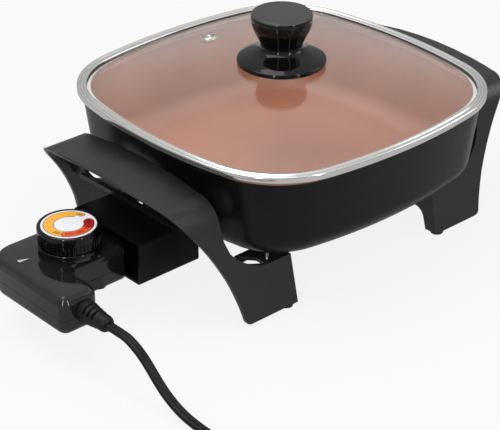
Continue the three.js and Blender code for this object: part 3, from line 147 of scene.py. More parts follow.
# %% Floor
floor_size, floor_drop, floor_grey = 14, 0.0002, 0.52
camera_share, gloss_share, gloss_level = 0.86, 0.85, 0.5


def make_floor():
    bpy.ops.mesh.primitive_plane_add(size=floor_size, location=(0, 0, -floor_drop))
    floor = bpy.context.object
    floor.name = "studio_floor"
    finish, tree, shader = new_finish("studio_white", (floor_grey,) * 3, Roughness=0.9,
                                      Specular_IOR_Level=0.1)[:3]
    rays = add(tree, "ShaderNodeLightPath").outputs
    direct = seen_directly(tree, rays)
    share = combine(tree, "MAXIMUM", combine(tree, "MULTIPLY", direct, camera_share),
                    combine(tree, "MULTIPLY", rays["Is Glossy Ray"], gloss_share))
    level = add(tree, "ShaderNodeMapRange", {"Value": direct, "To Min": gloss_level,
                                             "To Max": 1.0})
    white = add(tree, "ShaderNodeEmission", {"Color": (1, 1, 1, 1), "Strength": level.outputs[0]})
    mix_surface(tree, share, shader, white, tree.nodes["Material Output"])
    floor.data.materials.append(finish)
    print("floor:", floor_size, "m wide")


make_floor()

# %% [markdown]
# Black gloss shows nothing but what it reflects, so the air around the object is a soft gradient
# from a dim horizon to a bright top. A large lamp over the object and one at its side give form.
# Two narrow ones draw the bright lines that we expect on polished plastic. An image of a real
# studio could light it too, but a gradient needs no file.

# %% World
air_low, air_high = 0.22, 0.82
horizon, top_of_air = -0.1, 0.9


def make_world():
    world = bpy.data.worlds.new("studio_air")
    world.use_nodes = True
    tree = world.node_tree
    tree.nodes.clear()
    rays = add(tree, "ShaderNodeLightPath").outputs
    way = add(tree, "ShaderNodeTexCoord").outputs["Generated"]
    height = add(tree, "ShaderNodeSeparateXYZ", {0: way}).outputs["Z"]
    ramp = add(tree, "ShaderNodeMapRange", {
        "Value": height, "From Min": horizon, "From Max": top_of_air, "To Min": air_low,
        "To Max": air_high})
    air = add(tree, "ShaderNodeBackground", {"Color": (1, 1, 1, 1), "Strength": ramp.outputs[0]})
    white = add(tree, "ShaderNodeBackground", {"Color": (1, 1, 1, 1), "Strength": 1.0})
    mix_surface(tree, seen_directly(tree, rays), air, white, add(tree, "ShaderNodeOutputWorld"))
    bpy.context.scene.world = world


make_world()

# %% Lamps
for name, place, aim_height, width, length, power in (
        ("softbox_over", (-0.5, 0.2, 1.9), 0.05, 1.6, 1.6, 22),
        ("softbox_side", (1.5, -1.0, 0.9), 0.08, 0.9, 0.9, 6),
        ("strip_left", (-1.35, -0.75, 0.75), 0.15, 0.09, 1.1, 6),
        ("strip_right", (0.05, -1.5, 0.75), 0.15, 0.09, 1.1, 6)):
    data = bpy.data.lights.new(name, "AREA")
    data.shape = "RECTANGLE"
    data.size, data.size_y = width, length
    data.energy = power
    lamp = bpy.data.objects.new(name, data)
    bpy.context.scene.collection.objects.link(lamp)
    lamp.location = place
    way = Vector((0, 0, aim_height)) - Vector(place)
    lamp.rotation_euler = way.to_track_quat("-Z", "Y").to_euler()

bpy.context.scene.view_settings.view_transform = "Standard"
print("studio: floor, world and four lamps")

# %% [markdown]
# ## Shared effects
# Three effects come back on most surfaces: the fine grain that a spark-eroded mould leaves on
# plastic, the uneven shine of a surface that hands and cloths have rubbed, and the fine lines of
# drawn or brushed metal. Each is a node group with named inputs, placed with its own values.

# %% Grain group
def make_grain():
    tree, g, result = new_group(
        "mould_grain", {"Place": "Vector", "Scale": "Float", "Pit Share": "Float"},
        {"Height": "Float"})
    fine = add(tree, "ShaderNodeTexNoise", {"Vector": g["Place"], "Scale": g["Scale"],
                                            "Detail": 3.0, "Roughness": 0.6})
    pits = add(tree, "ShaderNodeTexVoronoi", {"Vector": g["Place"], "Scale": g["Scale"]})
    blend = add(tree, "ShaderNodeMix", {0: g["Pit Share"], 2: fine.outputs["Fac"],
                                        3: pits.outputs["Distance"]})
    fill(tree, result, {"Height": blend.outputs[0]})
    return tree


grain = make_grain()

# %% Rubbed shine group
def make_rubbed():
    tree, g, result = new_group(
        "rubbed_shine", {"Place": "Vector", "Scale": "Float", "Colour": "Color",
                         "Rubbed Colour": "Color", "Smooth": "Float", "Dull": "Float"},
        {"Colour": "Color", "Roughness": "Float"})
    cloud = add(tree, "ShaderNodeTexNoise", {"Vector": g["Place"], "Scale": g["Scale"],
                                             "Detail": 5.0, "Roughness": 0.62})
    spread = add(tree, "ShaderNodeMapRange", {"Value": cloud.outputs["Fac"], "From Min": 0.3,
                                              "From Max": 0.7})
    tint = add(tree, "ShaderNodeMix", {0: spread.outputs[0], 6: g["Colour"],
                                       7: g["Rubbed Colour"]}, data_type="RGBA")
    shine = add(tree, "ShaderNodeMix", {0: spread.outputs[0], 2: g["Smooth"], 3: g["Dull"]})
    fill(tree, result, {"Colour": tint.outputs[2], "Roughness": shine.outputs[0]})
    return tree


rubbed = make_rubbed()

# %% Drawn metal group
def make_drawn():
    tree, g, result = new_group(
        "drawn_lines", {"Place": "Vector", "Across": "Float", "Along": "Float",
                        "Smooth": "Float", "Dull": "Float"},
        {"Height": "Float", "Roughness": "Float"})
    scale = add(tree, "ShaderNodeCombineXYZ", {"X": g["Along"], "Y": g["Along"],
                                               "Z": g["Across"]})
    stretched = add(tree, "ShaderNodeVectorMath", {0: g["Place"], 1: scale.outputs[0]},
                    operation="MULTIPLY")
    lines = add(tree, "ShaderNodeTexNoise", {"Vector": stretched.outputs[0], "Scale": 1.0,
                                             "Detail": 4.0})
    shine = add(tree, "ShaderNodeMix", {0: lines.outputs["Fac"], 2: g["Smooth"], 3: g["Dull"]})
    fill(tree, result, {"Height": lines.outputs["Fac"], "Roughness": shine.outputs[0]})
    return tree


drawn = make_drawn()
print("groups:", grain.name, rubbed.name, drawn.name)

# %% [markdown]
# ## Finishes
# A finish joins the groups: a base colour that varies a little, a roughness that varies more, and
# a bump whose depth is in metres. On black plastic almost all that we see is the gloss, so the
# roughness does more than the colour. Each call gives the colour where it is clean and where it is
# rubbed, then the lowest and the highest roughness.

# %% Black plastics and coating
def coated(name, colour, rubbed_colour, smooth, dull, cloud=14.0, grain_scale=0.0, depth=0.0,
           pit_share=0.4, **shine):
    finish, tree, shader, place = new_finish(name, **shine)
    worn = add(tree, "ShaderNodeGroup", {
        "Place": place, "Scale": cloud, "Colour": (*colour, 1),
        "Rubbed Colour": (*rubbed_colour, 1), "Smooth": smooth, "Dull": dull}, node_tree=rubbed)
    fill(tree, shader, {"Base Color": worn.outputs["Colour"],
                        "Roughness": worn.outputs["Roughness"]})
    if grain_scale:
        pits = add(tree, "ShaderNodeGroup", {"Place": place, "Scale": grain_scale,
                                             "Pit Share": pit_share}, node_tree=grain)
        dent(tree, shader, pits.outputs["Height"], depth)
    return finish


moulded = coated("moulded_black", (0.007, 0.007, 0.0075), (0.01, 0.01, 0.0105), 0.26, 0.36,
                 grain_scale=900, depth=0.00024, Specular_IOR_Level=0.5)
shroud_black = coated("shroud_black", (0.003, 0.003, 0.003), (0.005, 0.005, 0.005), 0.3, 0.42,
                      grain_scale=1400, depth=0.00004, Specular_IOR_Level=0.16)
housing_black = coated("housing_black", (0.008, 0.008, 0.0085), (0.01, 0.01, 0.0105), 0.07, 0.12,
                       cloud=30)
gloss = coated("knob_gloss", (0.002, 0.002, 0.002), (0.003, 0.003, 0.004), 0.05, 0.1, cloud=40,
               Specular_IOR_Level=0.3)
knob_matt = coated("knob_top_matt", (0.03, 0.031, 0.031), (0.038, 0.038, 0.038), 0.42, 0.5,
                   grain_scale=2400, depth=0.00003)
pan_black = coated("pan_coating", (0.003, 0.003, 0.0033), (0.005, 0.005, 0.0054), 0.22, 0.32,
                   grain_scale=1900, depth=0.00003, pit_share=0.2, Specular_IOR_Level=0.2)
copper = coated("copper_coating", (0.29, 0.115, 0.07), (0.34, 0.14, 0.088), 0.36, 0.44,
                grain_scale=2200, depth=0.00003, pit_share=0.2)
cord_black = coated("cord_black", (0.006, 0.006, 0.007), (0.011, 0.011, 0.012), 0.36, 0.5,
                    cloud=60, grain_scale=2600, depth=0.00003, Specular_IOR_Level=0.18)
rubber = coated("rubber", (0.012, 0.012, 0.012), (0.02, 0.02, 0.02), 0.7, 0.85,
                grain_scale=1800, depth=0.00006, Specular_IOR_Level=0.3)
silicone = coated("silicone", (0.5, 0.48, 0.44), (0.58, 0.56, 0.52), 0.5, 0.62,
                  grain_scale=1200, depth=0.00003)
ceramic = coated("ceramic", (0.74, 0.7, 0.6), (0.82, 0.79, 0.7), 0.5, 0.7, grain_scale=1600,
                 depth=0.00005)

# %% [markdown]
# The dial's scale is printed on a white plastic disc. Screen ink is even, but it takes a little of
# the gloss away, so each ink is its own satin finish with a faint mottle.

# %% Printing inks
def ink(name, colour, mottle=0.88):
    dull = tuple(c * mottle for c in colour)
    return coated(name, colour, dull, 0.3, 0.4, cloud=260, grain_scale=3000, depth=0.00001)


face_white = ink("face_white", (0.72, 0.73, 0.76), 0.96)
ink_black = ink("ink_black", (0.012, 0.01, 0.009))
ink_warm = ink("ink_warm", (0.86, 0.39, 0.03))
ink_hot = ink("ink_hot", (0.7, 0.07, 0.006))
ink_searing = ink("ink_searing", (0.36, 0.005, 0.004))
mark_grey = ink("mark_grey", (0.52, 0.53, 0.55))

# %% [markdown]
# Sheet and wire keep fine lines from the rollers or dies that drew them. A noise stretched along
# one axis gives such lines. They steer the roughness and a very shallow bump, while the colour only
# drifts a little. Anisotropic gloss could do the same, but it needs tangents on every mesh.

# %% Metals
lines_across, lines_along, line_depth, drift = 2600.0, 60.0, 0.00001, 26.0


def metal(name, colour, rubbed_colour, smooth, dull):
    finish, tree, shader, place = new_finish(name, Metallic=1.0)
    shine = {"Place": place, "Smooth": smooth, "Dull": dull}
    lines = add(tree, "ShaderNodeGroup", {**shine, "Across": lines_across, "Along": lines_along},
                node_tree=drawn)
    cloud = add(tree, "ShaderNodeGroup", {
        **shine, "Scale": drift, "Colour": (*colour, 1), "Rubbed Colour": (*rubbed_colour, 1)},
        node_tree=rubbed)
    fill(tree, shader, {"Base Color": cloud.outputs["Colour"],
                        "Roughness": lines.outputs["Roughness"]})
    dent(tree, shader, lines.outputs["Height"], line_depth, 0.6)
    return finish


stainless = metal("stainless", (0.76, 0.755, 0.74), (0.84, 0.835, 0.82), 0.1, 0.2)
nickel = metal("nickel", (0.6, 0.59, 0.57), (0.68, 0.67, 0.65), 0.2, 0.34)
zinc = metal("zinc_plate", (0.45, 0.45, 0.44), (0.55, 0.55, 0.53), 0.28, 0.42)
brass = metal("brass", (0.62, 0.44, 0.2), (0.7, 0.5, 0.24), 0.2, 0.32)

# %% [markdown]
# The lid is clear toughened glass with a faint green edge. Real glass bends light, and so does the
# shader. For shadow rays it turns transparent, so that light reaches the pan without caustics.

# %% Glass
def make_glass():
    finish, tree, shader, place = new_finish("lid_glass", (0.97, 0.985, 0.975), Roughness=0.02,
                                             IOR=1.45, Transmission_Weight=1.0)
    smear = add(tree, "ShaderNodeTexNoise", {"Vector": place, "Scale": 30.0, "Detail": 4.0})
    dent(tree, shader, smear.outputs["Fac"], 0.0002, 0.05)
    rays = add(tree, "ShaderNodeLightPath").outputs
    clear = add(tree, "ShaderNodeBsdfTransparent", {"Color": (0.95, 0.97, 0.96, 1)})
    mix_surface(tree, rays["Is Shadow Ray"], shader, clear, tree.nodes["Material Output"])
    return finish


glass = make_glass()
print("finishes:", len(bpy.data.materials))

# %% [markdown]
# ## Meshes
# Most pieces are skins over rings of points: the rings of a lathe, of a hollow square pan, or of a
# cord. One helper joins the rings, and another turns the result into a piece that rides on its
# body. A turned profile starts and ends on its axis, where its ring shrinks to one point. Normals
# are pointed outwards once, and only edges sharper than a set angle stay crisp.

# %% Skin and piece
merge_distance = 1e-6


def skin(rings, ends="caps"):
    count = len(rings[0])
    points = [p for ring in rings for p in ring]
    faces = []
    pairs = list(zip(range(len(rings) - 1), range(1, len(rings))))
    if ends == "loop":
        pairs.append((len(rings) - 1, 0))
    for low, high in pairs:
        for i in range(count):
            j = (i + 1) % count
            faces.append((low * count + i, low * count + j, high * count + j, high * count + i))
    if ends == "caps":
        faces.append(tuple(reversed(range(count))))
        faces.append(tuple(range((len(rings) - 1) * count, len(rings) * count)))
    return points, faces


def slab(outline, low, high):
    return skin([[(x, y, z) for x, y in outline] for z in (low, high)])


def closed_mesh(name, points, faces):
    mesh = bpy.data.meshes.new(name)
    mesh.from_pydata([tuple(p) for p in points], [], faces)
    work = bmesh.new()
    work.from_mesh(mesh)
    bmesh.ops.remove_doubles(work, verts=work.verts, dist=merge_distance)
    bmesh.ops.recalc_face_normals(work, faces=work.faces)
    work.to_mesh(mesh)
    work.free()
    return mesh


def link_object(name, mesh):
    thing = bpy.data.objects.new(name, mesh)
    bpy.context.scene.collection.objects.link(thing)
    return thing


def place_piece(name, mesh, body, stands_for=()):
    piece = link_object(name, mesh)
    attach(piece, body)
    if stands_for:
        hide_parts(*stands_for)
    print("piece:", name, len(mesh.polygons), "faces")
    return piece


def make_piece(name, points, faces, finishes, body, slot, stands_for=(), choose=None, crisp=34):
    mesh = closed_mesh(name, points, faces)
    for finish in finishes:
        mesh.materials.append(finish)
    mesh.shade_smooth()
    mesh.set_sharp_from_angle(angle=math.radians(crisp))
    if choose:
        for face in mesh.polygons:
            face.material_index = choose(face)
    return place_piece(name, mesh, body, stands_for)


# %% Turned and curved outlines
fine_steps = 128


def circle(steps):
    turns = [2 * math.pi * i / steps for i in range(steps)]
    return [(math.cos(a), math.sin(a)) for a in turns]


def lathe(profile, centre, steps):
    return [[(centre[0] + radius * c, centre[1] + radius * s, z) for c, s in circle(steps)]
            for radius, z in profile]


def arc_points(start, corner, end, steps):
    points = []
    for i in range(steps + 1):
        t = i / steps
        points.append(tuple((1 - t) ** 2 * s + 2 * t * (1 - t) * c + t * t * e
                            for s, c, e in zip(start, corner, end)))
    return points


# %% [markdown]
# ## Cord
# The control's lead is a flat heater cord: two cores side by side in one black jacket, with a
# groove between them on both faces. It leaves the strain relief, sinks to the table under its own
# weight, and what the photograph doesn't show is put away in a coil beside the skillet. We follow
# the CAD's route through a smooth curve, and sweep the two-core section along it.

# %% Cord route
def smooth_route(points, steps):
    ends = [points[0] * 2 - points[1], *points, points[-1] * 2 - points[-2]]
    route = []
    for i in range(1, len(ends) - 2):
        p0, p1, p2, p3 = ends[i - 1:i + 3]
        t1 = (p1 - p0).length ** 0.5
        t2 = t1 + (p2 - p1).length ** 0.5
        t3 = t2 + (p3 - p2).length ** 0.5
        for k in range(steps):
            t = t1 + (t2 - t1) * k / steps
            a1 = p0 * ((t1 - t) / t1) + p1 * (t / t1)
            a2 = p1 * ((t2 - t) / (t2 - t1)) + p2 * ((t - t1) / (t2 - t1))
            a3 = p2 * ((t3 - t) / (t3 - t2)) + p3 * ((t - t2) / (t3 - t2))
            b1 = a1 * ((t2 - t) / t2) + a2 * (t / t2)
            b2 = a2 * ((t3 - t) / (t3 - t1)) + a3 * ((t - t1) / (t3 - t1))
            route.append(b1 * ((t2 - t) / (t2 - t1)) + b2 * ((t - t1) / (t2 - t1)))
    return route + [points[-1]]


run_points = [Vector((x / 1000 + shift, y / 1000, z / 1000)) for x, y, z in (
    (-250, -87.6, 44.4), (-250, -98, 44.4), (-250, -108, 44), (-250, -119.7, 39.8),
    (-249.5, -128, 33.8), (-248.7, -136, 25.5), (-248, -145, 17), (-247.5, -156, 10.2),
    (-247.2, -168, 6), (-247, -182, 4.2), (-247, -198, 3.7), (-247, -214, 3.6), (-247, -230, 3.6))]

# %% [markdown]
# The coil winds inwards, climbs on itself in one smooth step of half a turn, and winds outwards
# again on top. So its end comes out at the side, where the plug lies.

# %% Coil
cord_width, cord_thickness = 0.008, 0.005
coil_radius, coil_pitch, coil_turns = 0.0485, 0.0088, 2.5
coil_centre = run_points[-1] - Vector((coil_radius, 0, 0))
climb_turns, layer_gap = 0.5, 0.0007


def smoothstep(t):
    t = min(max(t, 0), 1)
    return t * t * (3 - 2 * t)


def coil_point(turn):
    half = coil_turns / 2
    radius = coil_radius - coil_pitch * (half - abs(turn - half))
    angle = -2 * math.pi * turn
    climb = smoothstep((turn - half + climb_turns / 2) / climb_turns)
    rise = climb * (cord_thickness + layer_gap)
    return coil_centre + Vector((radius * math.cos(angle), radius * math.sin(angle), rise))


run_steps, steps_per_turn, lead_steps = 4, 44, 8
plug_lead, plug_middle = 0.04, 0.00725


def full_route():
    route = smooth_route(run_points, run_steps)
    turns = round(coil_turns * steps_per_turn)
    route += [coil_point(coil_turns * i / turns) for i in range(1, turns + 1)]
    end = route[-1]
    plug = Vector((end.x, end.y + plug_lead, plug_middle))
    for i in range(1, lead_steps + 1):
        share = i / lead_steps
        point = end.lerp(plug, share)
        point.z = end.z + (plug.z - end.z) * smoothstep(share)
        route.append(point)
    return route


cord_route = full_route()

# %% Cord piece
def sweep_flat(route, section):
    rings = []
    for i, point in enumerate(route):
        ahead = route[min(i + 1, len(route) - 1)] - route[max(i - 1, 0)]
        ahead.normalize()
        across = Vector((-ahead.y, ahead.x, 0)).normalized()
        upward = ahead.cross(across)
        rings.append([point + across * x + upward * y for x, y in section])
    return rings


def make_cord():
    core = cord_thickness / 2
    reach = cord_width / 2 - core
    section = []
    core_steps, groove_angle = 12, 122
    for side in (1, -1):
        for i in range(core_steps + 1):
            angle = math.radians(groove_angle - 2 * groove_angle * i / core_steps)
            section.append((side * (reach + core * math.cos(angle)), side * core * math.sin(angle)))
    return make_piece("cord", *skin(sweep_flat(cord_route, section)), [cord_black], "control",
                      "cord_black", ("cord_run", "cord_coil"), crisp=70)


cord = make_cord()

# %% [markdown]
# ## Pan
# The pan is cast in one piece: a bowed square floor, a wall that leans outwards so that it leaves
# its mould, and a rolled lip. Outside it is satin black and inside it has a copper-coloured
# non-stick coat. One outline is offset inwards ring by ring, which keeps the corners true.

# %% Bowed square
def bowed_square(half, corner, side, side_steps=18, corner_steps=14):
    drop, reach = side - half, side - corner
    centre = (math.sqrt(2 * reach ** 2 - drop ** 2) - drop) / 2
    swing = math.atan2(centre, centre + drop)
    arc = math.pi / 2 - 2 * swing
    points = []
    for quarter in range(4):
        turn = Matrix.Rotation(quarter * math.pi / 2, 2)
        for i in range(side_steps):
            angle = swing * (2 * i / side_steps - 1)
            points.append(turn @ Vector((side * math.cos(angle) - drop, side * math.sin(angle))))
        for i in range(corner_steps):
            angle = swing + arc * i / corner_steps
            points.append(turn @ Vector((centre + corner * math.cos(angle),
                                         centre + corner * math.sin(angle))))
    return points


def square_rings(profile, half, corner, side):
    rings = []
    for inset, z in profile:
        outline = bowed_square(half - inset, corner - inset, side - inset)
        rings.append([(p.x + shift, p.y, z) for p in outline])
    return rings


pan_half, pan_corner, pan_side = 0.1398, 0.062, 0.44
pan_bottom, pan_top, pan_thick, lip_height = 0.053, 0.1257, 0.004, 0.0024
coat_from, floor_below, facing_up = 0.0569, 0.06, 0.5


def foot_round(inset, bottom, radius, steps=10):
    turns = [math.pi / 2 * i / steps for i in range(steps + 1)]
    return [(inset + radius * (1 - math.sin(a)), bottom + radius * (1 - math.cos(a)))
            for a in turns]


# %% Pan piece
def make_pan():
    lip = pan_top - lip_height
    inside = foot_round(inset=0.009, bottom=pan_bottom + pan_thick, radius=0.017)
    outside = foot_round(inset=0.006, bottom=pan_bottom, radius=0.02)
    profile = [
        (0.034, pan_bottom), *outside, (0.003, 0.0967), (0, lip - 0.0026), (-0.0008, lip - 0.0017),
        (-0.0019, lip - 0.0008), (-0.0025, lip + 0.0004), (-0.0025, lip + 0.0013),
        (-0.0021, lip + 0.0021), (-0.0012, pan_top), (0.0016, pan_top), (0.0026, lip + 0.0019),
        (0.003, lip + 0.0008), *reversed(inside), (0.034, pan_bottom + pan_thick),
    ]
    rings = square_rings(profile, pan_half, pan_corner, pan_side)
    rim = lip + 0.0003
    middle = Vector((shift, 0))

    def coat(face):
        inner = face.normal.z > facing_up and face.center.z < floor_below
        out = face.center.xy - middle
        facing_in = out.dot(face.normal.xy) < 0
        return int(face.center.z > rim or inner or (facing_in and face.center.z > coat_from))

    make_piece("pan_shell", *skin(rings), [pan_black, copper], "base", "cast_coating", ("pan",),
               coat)


make_pan()

# %% [markdown]
# ## Lid
# The lid is a shallow dome of toughened glass in a band of thin stainless sheet. The dome could be
# a grid that is pushed up, but rings that pass from square to round give it a true hole for the
# knob's screw. The band is folded round the edge of the glass: a bright bead outside, a groove, and
# an inner lip on the glass. Below, a hem hangs inside the pan and keeps the lid in place.

# %% Lid glass
lid_half, lid_corner, lid_side = 0.1463, 0.078, 0.4465
glass_top, glass_rise, glass_thick = 0.1297, 0.0203, 0.0028
glass_inset, glass_flat, hole_radius = 0.0009, 0.0086, 0.0034
glass_half = lid_half - glass_inset
flat_share = 1 - glass_flat / glass_half


def glass_height(share):
    out = min(share / flat_share, 1)
    return glass_top + glass_rise * (1 - out ** 2)


def glass_ring(share, lift):
    ring = []
    for p in bowed_square(glass_half, lid_corner - glass_inset, lid_side - glass_inset):
        round_p = p.normalized() * glass_half
        at = p.lerp(round_p, 1 - share) * share
        ring.append((at.x + shift, at.y, glass_height(share) + lift))
    return ring


def make_lid_glass():
    shares = [1, (1 + flat_share) / 2, flat_share, 0.91, 0.87, 0.82, 0.77, 0.72, 0.66, 0.6, 0.54,
              0.48, 0.42, 0.36, 0.3, 0.24, 0.18, 0.12, 0.07, hole_radius / glass_half]
    rings = [glass_ring(s, 0) for s in shares]
    rings += [glass_ring(s, -glass_thick) for s in reversed(shares)]
    make_piece("lid_dome", *skin(rings, "loop"), [glass], "lid", "glass", ("lid_glass",))


make_lid_glass()

# %% Lid band
band_top = 0.1306


def make_band():
    profile = [(inset / 1000, band_top + rise / 1000) for inset, rise in (
        (0.3, -4.6), (0, -4.1), (0, -0.9), (0.1, -0.2), (0.5, 0.3), (1.1, 0.6), (1.7, 0.6),
        (2.3, 0.4), (2.8, 0), (3.1, -0.5), (3.5, -0.7), (4.3, -0.7), (4.8, -0.4), (5.1, 0),
        (5.6, 0.4), (6.3, 0.5), (7, 0.4), (7.7, 0), (8, -0.3), (8, -0.6), (0.6, -0.6), (0.6, -4),
        (11.3, -4), (11.3, -9.6), (10.7, -9.6), (10.7, -4.6))]
    rings = square_rings(profile, lid_half, lid_corner, lid_side)
    make_piece("lid_band", *skin(rings, "loop"), [stainless], "lid", "stainless", ("lid_rim",),
               crisp=50)


make_band()

# %% [markdown]
# ## Knob
# The knob is turned in outline: a wide flange that keeps fingers off the glass, a slim waist, and a
# cup that fills the hand. So one profile on the lathe is enough, with smooth curves for the waist.
# Its body is polished, and only the dished top is matt.

# %% Knob piece
def make_knob():
    base = 0.1503
    edge = base - 0.0009
    shoulder = edge + 0.004
    waist, cup, top = base + 0.0146, base + 0.0375, base + 0.042
    flange, waist_r, cup_r, top_r, ease = 0.0365, 0.0173, 0.0251, 0.0225, 0.0016

    def waist_curve(a, b, c, d, steps=14):
        found = []
        for i in range(1, steps + 1):
            t = i / steps
            s = 1 - t
            found.append(tuple(s ** 3 * p + 3 * s * s * t * q + 3 * s * t * t * r + t ** 3 * u
                               for p, q, r, u in zip(a, b, c, d)))
        return found

    axis, bore, bore_top, seat = 0.0001, 0.0027, base + 0.014, 0.018
    profile = [(axis, bore_top), (bore, bore_top), (bore, base), (seat, base)]
    profile += arc_points((flange - ease, edge), (flange, edge), (flange, edge + ease), 5)
    profile += arc_points((flange, shoulder - ease), (flange, shoulder),
                          (flange - ease, shoulder + ease * 0.3), 5)
    profile += waist_curve(profile[-1], (flange * 0.8, shoulder + 0.0044),
                           (waist_r, waist - 0.0055), (waist_r, waist))
    profile += waist_curve((waist_r, waist), (waist_r, waist + 0.005), (cup_r, cup - 0.0101),
                           (cup_r, cup))
    profile += arc_points((cup_r, cup), (cup_r, top), (top_r, top), 8)[1:]
    profile += [(top_r - 0.0012, top - 0.0002), (top_r - 0.002, top - 0.0005),
                (0.015, top - 0.0006), (0.008, top - 0.0007), (axis, top - 0.0007)]
    matt_from = top - 0.0018

    def finish_of(face):
        return int(face.center.z > matt_from)

    make_piece("lid_knob_turned", *skin(lathe(profile, (shift, 0), fine_steps)),
               [gloss, knob_matt], "lid", "gloss_black", ("lid_knob",), finish_of, crisp=40)


make_knob()

# %% [markdown]
# ## Moulded pieces from the CAD
# The handle units, the shroud and the control's shells already have their true forms in the CAD.
# A mould can't have knife edges, though. So we copy each mesh, join its loose triangles, and let a
# Bevel modifier round every sharp edge, by 1 mm on the handles and less on small pieces. Those
# rounded edges are what catches the light.

# %% Rounded copies
crease = math.radians(30)
loose_distance, flat_angle = 2e-6, math.radians(1)


def rounded_copy(name, node, finish, body, width, segments=2):
    work = bmesh.new()
    work.from_mesh(nodes[node].data)
    bmesh.ops.remove_doubles(work, verts=work.verts, dist=loose_distance)
    bmesh.ops.dissolve_limit(work, angle_limit=flat_angle, verts=work.verts, edges=work.edges)
    mesh = bpy.data.meshes.new(name)
    work.to_mesh(mesh)
    work.free()
    mesh.materials.append(finish)
    mesh.shade_smooth()
    mesh.set_sharp_from_angle(angle=crease)
    piece = place_piece(name, mesh, body, (node,))
    bevel = piece.modifiers.new("rounded_edges", "BEVEL")
    bevel.width = width
    bevel.segments = segments
    bevel.limit_method = "ANGLE"
    bevel.angle_limit = crease
    bevel.harden_normals = True


for node in ("far_side_handle", "probe_side_handle"):
    rounded_copy(node + "_moulding", node, moulded, "base", width=0.001,
                 segments=3)
rounded_copy("terminal_shroud_box", "terminal_shroud", shroud_black, "base",
             width=0.0005)
for node in ("probe_upper_shell", "probe_lower_shell"):
    rounded_copy(node + "_cover", node, housing_black, "control", width=0.0003)

# %% [markdown]
# ## What repeats
# Geometry Nodes make what repeats. A tree has named inputs for its sizes. We hang it on a seed
# mesh as a modifier, set the inputs, read the evaluated result back as a plain mesh, and throw the
# seed away. Realize Instances turns the copies into real faces, which the export needs.

# %% Grow a piece from a tree
grown_crease = math.radians(40)


def new_growth(name, inputs):
    return new_group(name, {"Seed": "Geometry", **inputs}, {"Grown": "Geometry"},
                     "GeometryNodeTree")


def close_growth(tree, geometry, finish, result):
    real = add(tree, "GeometryNodeRealizeInstances", {"Geometry": geometry})
    dressed = add(tree, "GeometryNodeSetMaterial", {"Geometry": real.outputs[0],
                                                    "Material": finish})
    fill(tree, result, {"Grown": dressed.outputs[0]})


def grow(name, tree, values, points, body, stands_for=()):
    seed_mesh = bpy.data.meshes.new(name + "_seed")
    seed_mesh.from_pydata(points, [], [])
    seed = link_object(name + "_seed", seed_mesh)
    growth = seed.modifiers.new("growth", "NODES")
    growth.node_group = tree
    for item in tree.interface.items_tree:
        if item.in_out == "INPUT" and item.name in values:
            growth[item.identifier] = values[item.name]
    graph = bpy.context.evaluated_depsgraph_get()
    mesh = bpy.data.meshes.new_from_object(seed.evaluated_get(graph))
    bpy.data.objects.remove(seed)
    mesh.name = name
    mesh.shade_smooth()
    mesh.set_sharp_from_angle(angle=grown_crease)
    place_piece(name, mesh, body, stands_for)


# %% [markdown]
# ## Dial
# The heat dial is a turned cap: a skirt, a zone of fine ribs for the fingers, a smooth band and a
# rounded rim round a printed disc. The cap is a lathe. The ribs are a ring of slim rods sunk into
# it by half, one for each point of a circle.

# %% Dial cap
dial_at = (shift - 0.219, 0)
rib_low, rib_high, rib_ring = 0.0669, 0.0734, 0.0236


def mm(pairs):
    return [(a / 1000, b / 1000) for a, b in pairs]


def make_dial_cap():
    profile = mm([
        (0, 80.2), (20.9, 80.2), (21.5, 80.3), (21.55, 80.8), (21.8, 81.05), (22.2, 81.2),
        (23.0, 81.2), (23.8, 81.0), (24.2, 80.6), (24.45, 80.1), (24.5, 79.5), (24.5, 74.3),
        (24.35, 73.85), (23.95, 73.6), (23.6, 73.4), (23.6, 66.9), (23.45, 66.6), (22.9, 66.45),
        (22.9, 66.1), (23.9, 65.95), (24.35, 65.7), (24.5, 65.2), (24.5, 63.1), (24.3, 62.7),
        (23.8, 62.5), (21.9, 62.5), (21.9, 78.1), (6, 78.1), (6, 62.6), (3.4, 62.6), (3.4, 78.0),
        (0, 78.0),
    ])
    make_piece("dial_cap", *skin(lathe(profile, dial_at, fine_steps)), [gloss], "dial",
               "gloss_black", ("dial_knob",), crisp=50)


make_dial_cap()

# %% Dial ribs
rib_count, rib_sides, rib_radius, rib_bite = 48, 12, 0.00062, 0.0002


def make_rib_tree():
    tree, g, result = new_growth("rib_ring", {
        "Count": "Int", "Ring Radius": "Float", "Rib Radius": "Float", "Rib Height": "Float",
        "Centre": "Vector", "Finish": "Material"})
    ring = add(tree, "GeometryNodeMeshCircle", {"Vertices": g["Count"], "Radius": g["Ring Radius"]})
    rib = add(tree, "GeometryNodeMeshCylinder", {"Vertices": rib_sides, "Radius": g["Rib Radius"],
                                                 "Depth": g["Rib Height"]})
    ribs = add(tree, "GeometryNodeInstanceOnPoints", {"Points": ring.outputs[0],
                                                      "Instance": rib.outputs[0]})
    placed = add(tree, "GeometryNodeTransform", {"Geometry": ribs.outputs[0],
                                                 "Translation": g["Centre"]})
    close_growth(tree, placed.outputs[0], g["Finish"], result)
    return tree


grow("dial_ribs", make_rib_tree(), {
    "Count": rib_count, "Ring Radius": rib_ring, "Rib Radius": rib_radius,
    "Rib Height": rib_high - rib_low + rib_bite, "Centre": (*dial_at, (rib_low + rib_high) / 2),
    "Finish": gloss,
}, [(0, 0, 0)], "dial")

# %% [markdown]
# The scale is printed on the disc in a fixed order, as a printer lays down inks: the warm arc
# first, the hot arc over it, and the black numbers last. An image could show it, but thin closed
# slabs stay sharp at any size. Each layer lies 0.03 mm above the one before. The numbers are read
# from the pointer's side, so their tops face the middle.

